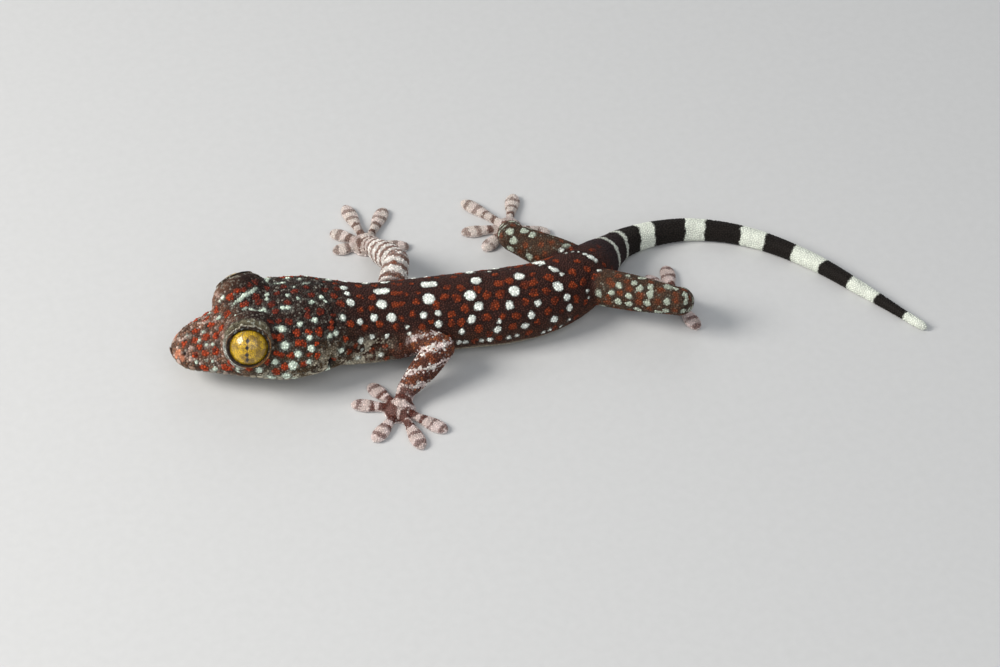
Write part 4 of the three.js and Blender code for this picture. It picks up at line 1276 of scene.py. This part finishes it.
def eye_material():
    """A gold iris with a fine dark network, a closed scalloped slit with four pinholes, and a wet surface."""
    values = {"Roughness": 0.28, "Coat Weight": 0.7, "Coat Roughness": 0.04}
    material, tree, shader = new_material("gold_eye", values)

    def sums(operation, *inputs):
        return add_node(tree, "ShaderNodeMath", dict(enumerate(inputs)), operation=operation).outputs[0]

    def step(value, low, high):
        inputs = {"Value": value, "From Min": low, "From Max": high}
        return add_node(tree, "ShaderNodeMapRange", inputs, interpolation_type="SMOOTHSTEP").outputs["Result"]

    def within(value, low, high):
        """One up to low, and nothing past high."""
        return sums("SUBTRACT", 1.0, step(value, low, high))

    def painted(share, under, over):
        """Two colours mixed, each a socket or screen values."""
        inputs = {"Factor": share, MIX_A: under, MIX_B: over}
        for key in (MIX_A, MIX_B):
            if isinstance(inputs[key], tuple):
                inputs[key] = (*linear(inputs[key]), 1)
        return add_node(tree, "ShaderNodeMix", inputs, data_type="RGBA").outputs[MIX_RESULT]

    place = add_node(tree, "ShaderNodeTexCoord").outputs["Object"]
    scaled = add_node(tree, "ShaderNodeVectorMath", {0: place, "Scale": 1000}, operation="SCALE")
    in_mm = scaled.outputs["Vector"]
    warp = add_node(tree, "ShaderNodeTexNoise", {"Vector": in_mm, "Scale": 2.2, "Detail": 3}).outputs["Color"]
    bend = {0: warp, 1: (0.35, 0.35, 0.35), 2: in_mm}
    bent = add_node(tree, "ShaderNodeVectorMath", bend, operation="MULTIPLY_ADD").outputs["Vector"]
    net = add_node(tree, "ShaderNodeTexVoronoi", {"Vector": bent, "Scale": 4.4}, feature="DISTANCE_TO_EDGE")
    patches = add_node(tree, "ShaderNodeTexNoise", {"Vector": in_mm, "Scale": 1.3}).outputs["Fac"]
    split = add_node(tree, "ShaderNodeSeparateXYZ", {0: in_mm})
    y = split.outputs["Y"]
    x = sums("SUBTRACT", sums("ADD", split.outputs["X"], SLIT_AHEAD), sums("MULTIPLY", y, SLIT_LEAN))
    gold = painted(step(patches, 0.35, 0.65), IRIS_DEEP, IRIS_GOLD)
    lines = step(net.outputs["Distance"], 0.01, 0.1)
    iris = painted(lines, IRIS_LINE, gold)
    # The slit's edges wave, and part at four small holes
    wave = sums("MULTIPLY", sums("SINE", sums("MULTIPLY", y, 7.0)), 0.02)
    aside = sums("ABSOLUTE", sums("ADD", x, wave))
    inside = within(sums("ABSOLUTE", sums("ADD", y, 0.2)), 1.25, 1.5)
    seam = sums("MULTIPLY", within(aside, 0.03, 0.09), inside)
    iris = painted(sums("MULTIPLY", seam, 0.55), iris, SEAM_BROWN)
    holes, rims = 0.0, 0.0
    for height in PINHOLES:
        up = sums("MULTIPLY", sums("ABSOLUTE", sums("SUBTRACT", y, height)), 0.8)
        diamond = sums("ADD", aside, up)
        holes = sums("MAXIMUM", holes, within(diamond, 0.2, 0.24))
        rims = sums("MAXIMUM", rims, within(diamond, 0.27, 0.37))
    iris = painted(sums("MULTIPLY", rims, 0.6), iris, RIM_BROWN)
    iris = painted(holes, iris, PUPIL)
    share_x, share_y = sums("DIVIDE", split.outputs["X"], APERTURE[0]), sums("DIVIDE", y, APERTURE[1])
    flat = add_node(tree, "ShaderNodeCombineXYZ", {"X": share_x, "Y": share_y}).outputs["Vector"]
    share = add_node(tree, "ShaderNodeVectorMath", {0: flat}, operation="LENGTH").outputs["Value"]
    # Painted shade round the iris's edge, where the lids overhang it
    iris = painted(step(share, 0.86, 0.97), iris, EYE_EDGE_SHADE)
    bump = add_node(tree, "ShaderNodeBump", {"Distance": 0.00004, "Strength": 0.4, "Height": lines})
    feed(tree, shader, {"Base Color": iris, "Normal": bump.outputs["Normal"]})
    return material


def floor_material():
    material, tree, shader = new_material("pale_floor", {"Roughness": 0.85})
    place = add_node(tree, "ShaderNodeTexCoord").outputs["Object"]
    grain = add_node(tree, "ShaderNodeTexNoise", {"Vector": place, "Scale": 900}).outputs["Fac"]
    level = add_node(tree, "ShaderNodeMapRange", {"Value": grain, "To Min": 0.54, "To Max": 0.58})
    level = level.outputs["Result"]
    grey = add_node(tree, "ShaderNodeCombineColor", {"Red": level, "Green": level, "Blue": level})
    feed(tree, shader, {"Base Color": grey.outputs["Color"]})
    return material


skin_look = node_material("gecko_skin", 0.62, 9000, 0.00003, specular=0.15)
scale_look = node_material("gecko_scales", 0.5, 16000, 0.00002, specular=0.18)
claw_look = node_material("claw_horn", 0.4, 14000, 0.00001, coat=0.2)

# The skin
verts, quads = one_skin()
verts, placed, hollows = shape_skin(verts, quads)
placed["p"] = verts
skin_tree = BVHTree.FromPolygons(verts.tolist(), quads.tolist())
marks = all_marks(verts, placed, skin_tree)
skin_colour, stand = markings(placed, marks)
crease = crease_depth(verts, skin_tree)
verts = verts + vertex_normals(verts, quads) * (stand - 0.2 * crease)[:, None]
verts[:, 2] = np.maximum(verts[:, 2], 0.0)
placed["p"] = verts
skin_tree = BVHTree.FromPolygons(verts.tolist(), quads.tolist())
normals = vertex_normals(verts, quads)
# Painted shade: the skin between the scales is darkened, and made near black in the mouth's groove, the ear
# openings and the nostrils
skin_colour = paint(skin_colour * painted_gap_shade(skin_colour)[:, None] * 0.9, (26, 16, 15), hollows)
skin = make_piece("skin", verts, quads, skin_look, skin_colour)
flesh = [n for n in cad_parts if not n.startswith("eye")]
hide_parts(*flesh)

# Scales over it
points, faces, gap = scatter(verts, quads, skin_tree, spacing(placed))
clear = points[:, 2] > 0.03
for side, name in ((1, "left"), (-1, "right")):
    arc, turn, far = lid_place(points, side)
    clear &= ~((far < BROW_RADIUS + 0.12) & (far > BROW_RADIUS - 0.6) & (arc < lid_reach(turn) - 0.02))
    lid_verts, lid_faces, lid_arc, lid_turn = lid_piece(side)
    # The lid under its scales is darkened as painted shade in the gaps between them
    tone = lid_colour(lid_verts, lid_arc, lid_turn, marks, side) * 0.6
    lid = make_piece(f"lid_{name}", lid_verts, lid_faces, skin_look, tone)
clear &= hollows[quads[faces]].mean(1) < 0.35
plates, plate_faces, plate_gap = lip_plates(skin_tree)
clear &= depth_in(points, np.column_stack([plates, plate_gap * 0.6])) < 0
points, faces, gap = points[clear], faces[clear], gap[clear]
is_plate = np.arange(len(points) + len(plates)) >= len(points)
points, faces = np.vstack([points, plates]), np.concatenate([faces, plate_faces])
gap = np.concatenate([gap, plate_gap])
point_normals = unit(normals[quads[faces]].mean(1))
info = describe(points)
colours = markings(info, marks)[0]
# Painted shade: scales in the folds behind the jaw are darkened by how deep the fold cuts
painted_crease_shade = 1 - 0.45 * crease[quads[faces]].mean(1)
on_toe = (info["toe"] >= 0) & (info["on_limb"] > 0.5)
uneven = 0.34 - 0.25 * smooth(info["at"], 52, 58) - 0.16 * on_toe
colours *= ((1 + rng.uniform(-1, 1, len(points)) * uneven) * painted_crease_shade)[:, None]
flat_below = smooth(np.abs(info["degrees"]), 112, 130) * (1 - info["on_limb"])
high = gap * np.where(is_plate, 0.13, 0.3 - 0.14 * flat_below)
high *= np.where(on_toe, 0.8, 1.0)
lid_sets = []
for side in (1, -1):
    lid_points, lid_normals, arc, turn = lid_rows(side)
    lid_sets.append((lid_points, lid_normals, lid_colour(lid_points, arc, turn, marks, side)))
lid_points, lid_normals, lid_colours = (np.vstack(column) for column in zip(*lid_sets))
above_skin = []
for p in lid_points:
    nearest, way, _, _ = skin_tree.find_nearest(p)
    above_skin.append((Vector(p) - nearest).dot(way) > -0.02)
lid_points, lid_normals = lid_points[above_skin], lid_normals[above_skin]
lid_colours = lid_colours[above_skin]
lid_info = describe(lid_points)
everything = {
    "points": np.vstack([points, lid_points]),
    "normals": np.vstack([point_normals, lid_normals]),
    "gap": np.concatenate([gap, np.full(len(lid_points), LID_ROW)]),
    "high": np.concatenate([high, np.full(len(lid_points), LID_ROW * 0.34)]),
    "colours": np.vstack([colours, lid_colours * rng.uniform(0.65, 1.35, len(lid_points))[:, None]]),
}
wanted = ("at", "degrees", "on_limb", "limb", "run")
full = {key: np.concatenate([info[key], lid_info[key]]) for key in wanted}
limb_part = full["on_limb"] > 0.5
limb_part[len(points):] = False
chart = np.stack([full["at"] / BODY_LENGTH, full["degrees"] / 360 + 0.5], -1)
turned = np.arctan2(everything["normals"][:, 2], everything["normals"][:, 0]) / (2 * np.pi)
reach_limb = np.stack([full["limb"] + np.clip(full["run"] / 26, 0, 1) * 0.9, turned], -1)
HEAD_END, TRUNK_END = 20, 55
regions = {
    "head_scales": (~limb_part & (full["at"] < HEAD_END), "head_skin", chart),
    "body_scales": (~limb_part & (full["at"] >= HEAD_END) & (full["at"] < TRUNK_END), "body_skin", chart),
    "tail_scales": (~limb_part & (full["at"] >= TRUNK_END), "tail_skin", chart),
    "limb_scales": (limb_part, "foot_skin", reach_limb),
}
for name, (chosen, slot_name, layout) in regions.items():
    part = {key: values[chosen] for key, values in everything.items()}
    for piece in scale_mesh(**part, chart=layout[chosen], name=name, material=scale_look):
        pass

# Eyeballs
eye_look = eye_material()
for side, name in ((1, "left"), (-1, "right")):
    centre, out, across, up = eye_frame(side)
    ball_verts, ball_faces = tube(sphere_rings(96, 160, 1) * EYE_RADIUS)
    ball_verts[-2], ball_verts[-1] = (0, 0, EYE_RADIUS), (0, 0, -EYE_RADIUS)
    mesh = make_mesh(f"eyeball_{name}", ball_verts, ball_faces)
    mesh.materials.append(eye_look)
    ball = place_object(f"eyeball_{name}", mesh)
    right = across if side > 0 else -across
    ball.matrix_world = placing(right, np.cross(out, right), out, centre)
    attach(ball, "root")
    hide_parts(f"eye_{name}")

# Claws
CLAW_LENGTH, CLAW_RADIUS, CLAW_SINK = 0.7, 0.13, 0.93
claw_pieces = []
for _, sole, toes in LIMBS.values():
    for degrees, length in toes:
        turn = math.radians(degrees)
        way = np.array([math.cos(turn), math.sin(turn), 0])
        start = np.array([*sole, 0]) + way * (length * CLAW_SINK)
        t = np.linspace(0, 1, 12)[:, None]
        path = start + way * t * CLAW_LENGTH + np.array([0, 0, 1]) * (0.42 + 0.24 * t - 0.46 * t**2)
        radius = CLAW_RADIUS * (1 - t[:, 0]) ** 0.8 + 0.01
        around = np.linspace(0, 2 * np.pi, 10, endpoint=False)[None, :, None]
        cross = np.cross(way, (0, 0, 1))
        ring = np.cos(around) * cross + np.sin(around) * np.array([0, 0, 1.25])
        claw_pieces.append(tube(path[:, None] + radius[:, None, None] * ring))
claw_verts, claw_faces = join(claw_pieces)
claw_colour = np.tile(linear((126, 106, 98)), (len(claw_verts), 1))
claws = make_piece("claws", claw_verts, claw_faces, claw_look, claw_colour)

# Floor, light and camera
FLOOR_HALF = 900
floor_corners = np.array([(-1, -1, 0), (1, -1, 0), (1, 1, 0), (-1, 1, 0)]) * FLOOR_HALF
floor_mesh = make_mesh("floor", floor_corners, [[0, 1, 2, 3]])
floor_mesh.materials.append(floor_material())
floor = place_object("floor", floor_mesh)

world = bpy.data.worlds.new("studio")
world.use_nodes = True
world.node_tree.nodes["Background"].inputs["Color"].default_value = (0.86, 0.93, 1.0, 1)
world.node_tree.nodes["Background"].inputs["Strength"].default_value = 0.33
bpy.context.scene.world = world


def area_light(name, place, aim, size, power, colour=(1, 1, 1)):
    light = bpy.data.lights.new(name, "AREA")
    light.size = size
    light.energy = power
    light.color = colour
    lamp = place_object(name, light)
    lamp.location = place
    lamp.rotation_euler = (Vector(aim) - Vector(place)).to_track_quat("-Z", "Y").to_euler()


area_light("key", (-0.36, 0.03, 0.28), (0, 0, 0), 0.2, 2.2, (1.0, 0.97, 0.92))
area_light("fill", (-0.02, -0.36, 0.36), (0, 0, 0), 0.45, 0.95)
area_light("back", (0.15, 0.4, 0.3), (0, 0, 0), 0.35, 0.3)

camera_data = bpy.data.cameras.new("camera")
camera_data.lens, camera_data.sensor_width = LENS, SENSOR
camera_data.clip_start = 0.01
camera = place_object("camera", camera_data)
camera.matrix_world = placing(cam_right, cam_up, cam_back, cam_place)
bpy.context.scene.camera = camera
bpy.context.scene.view_settings.view_transform = "Standard"
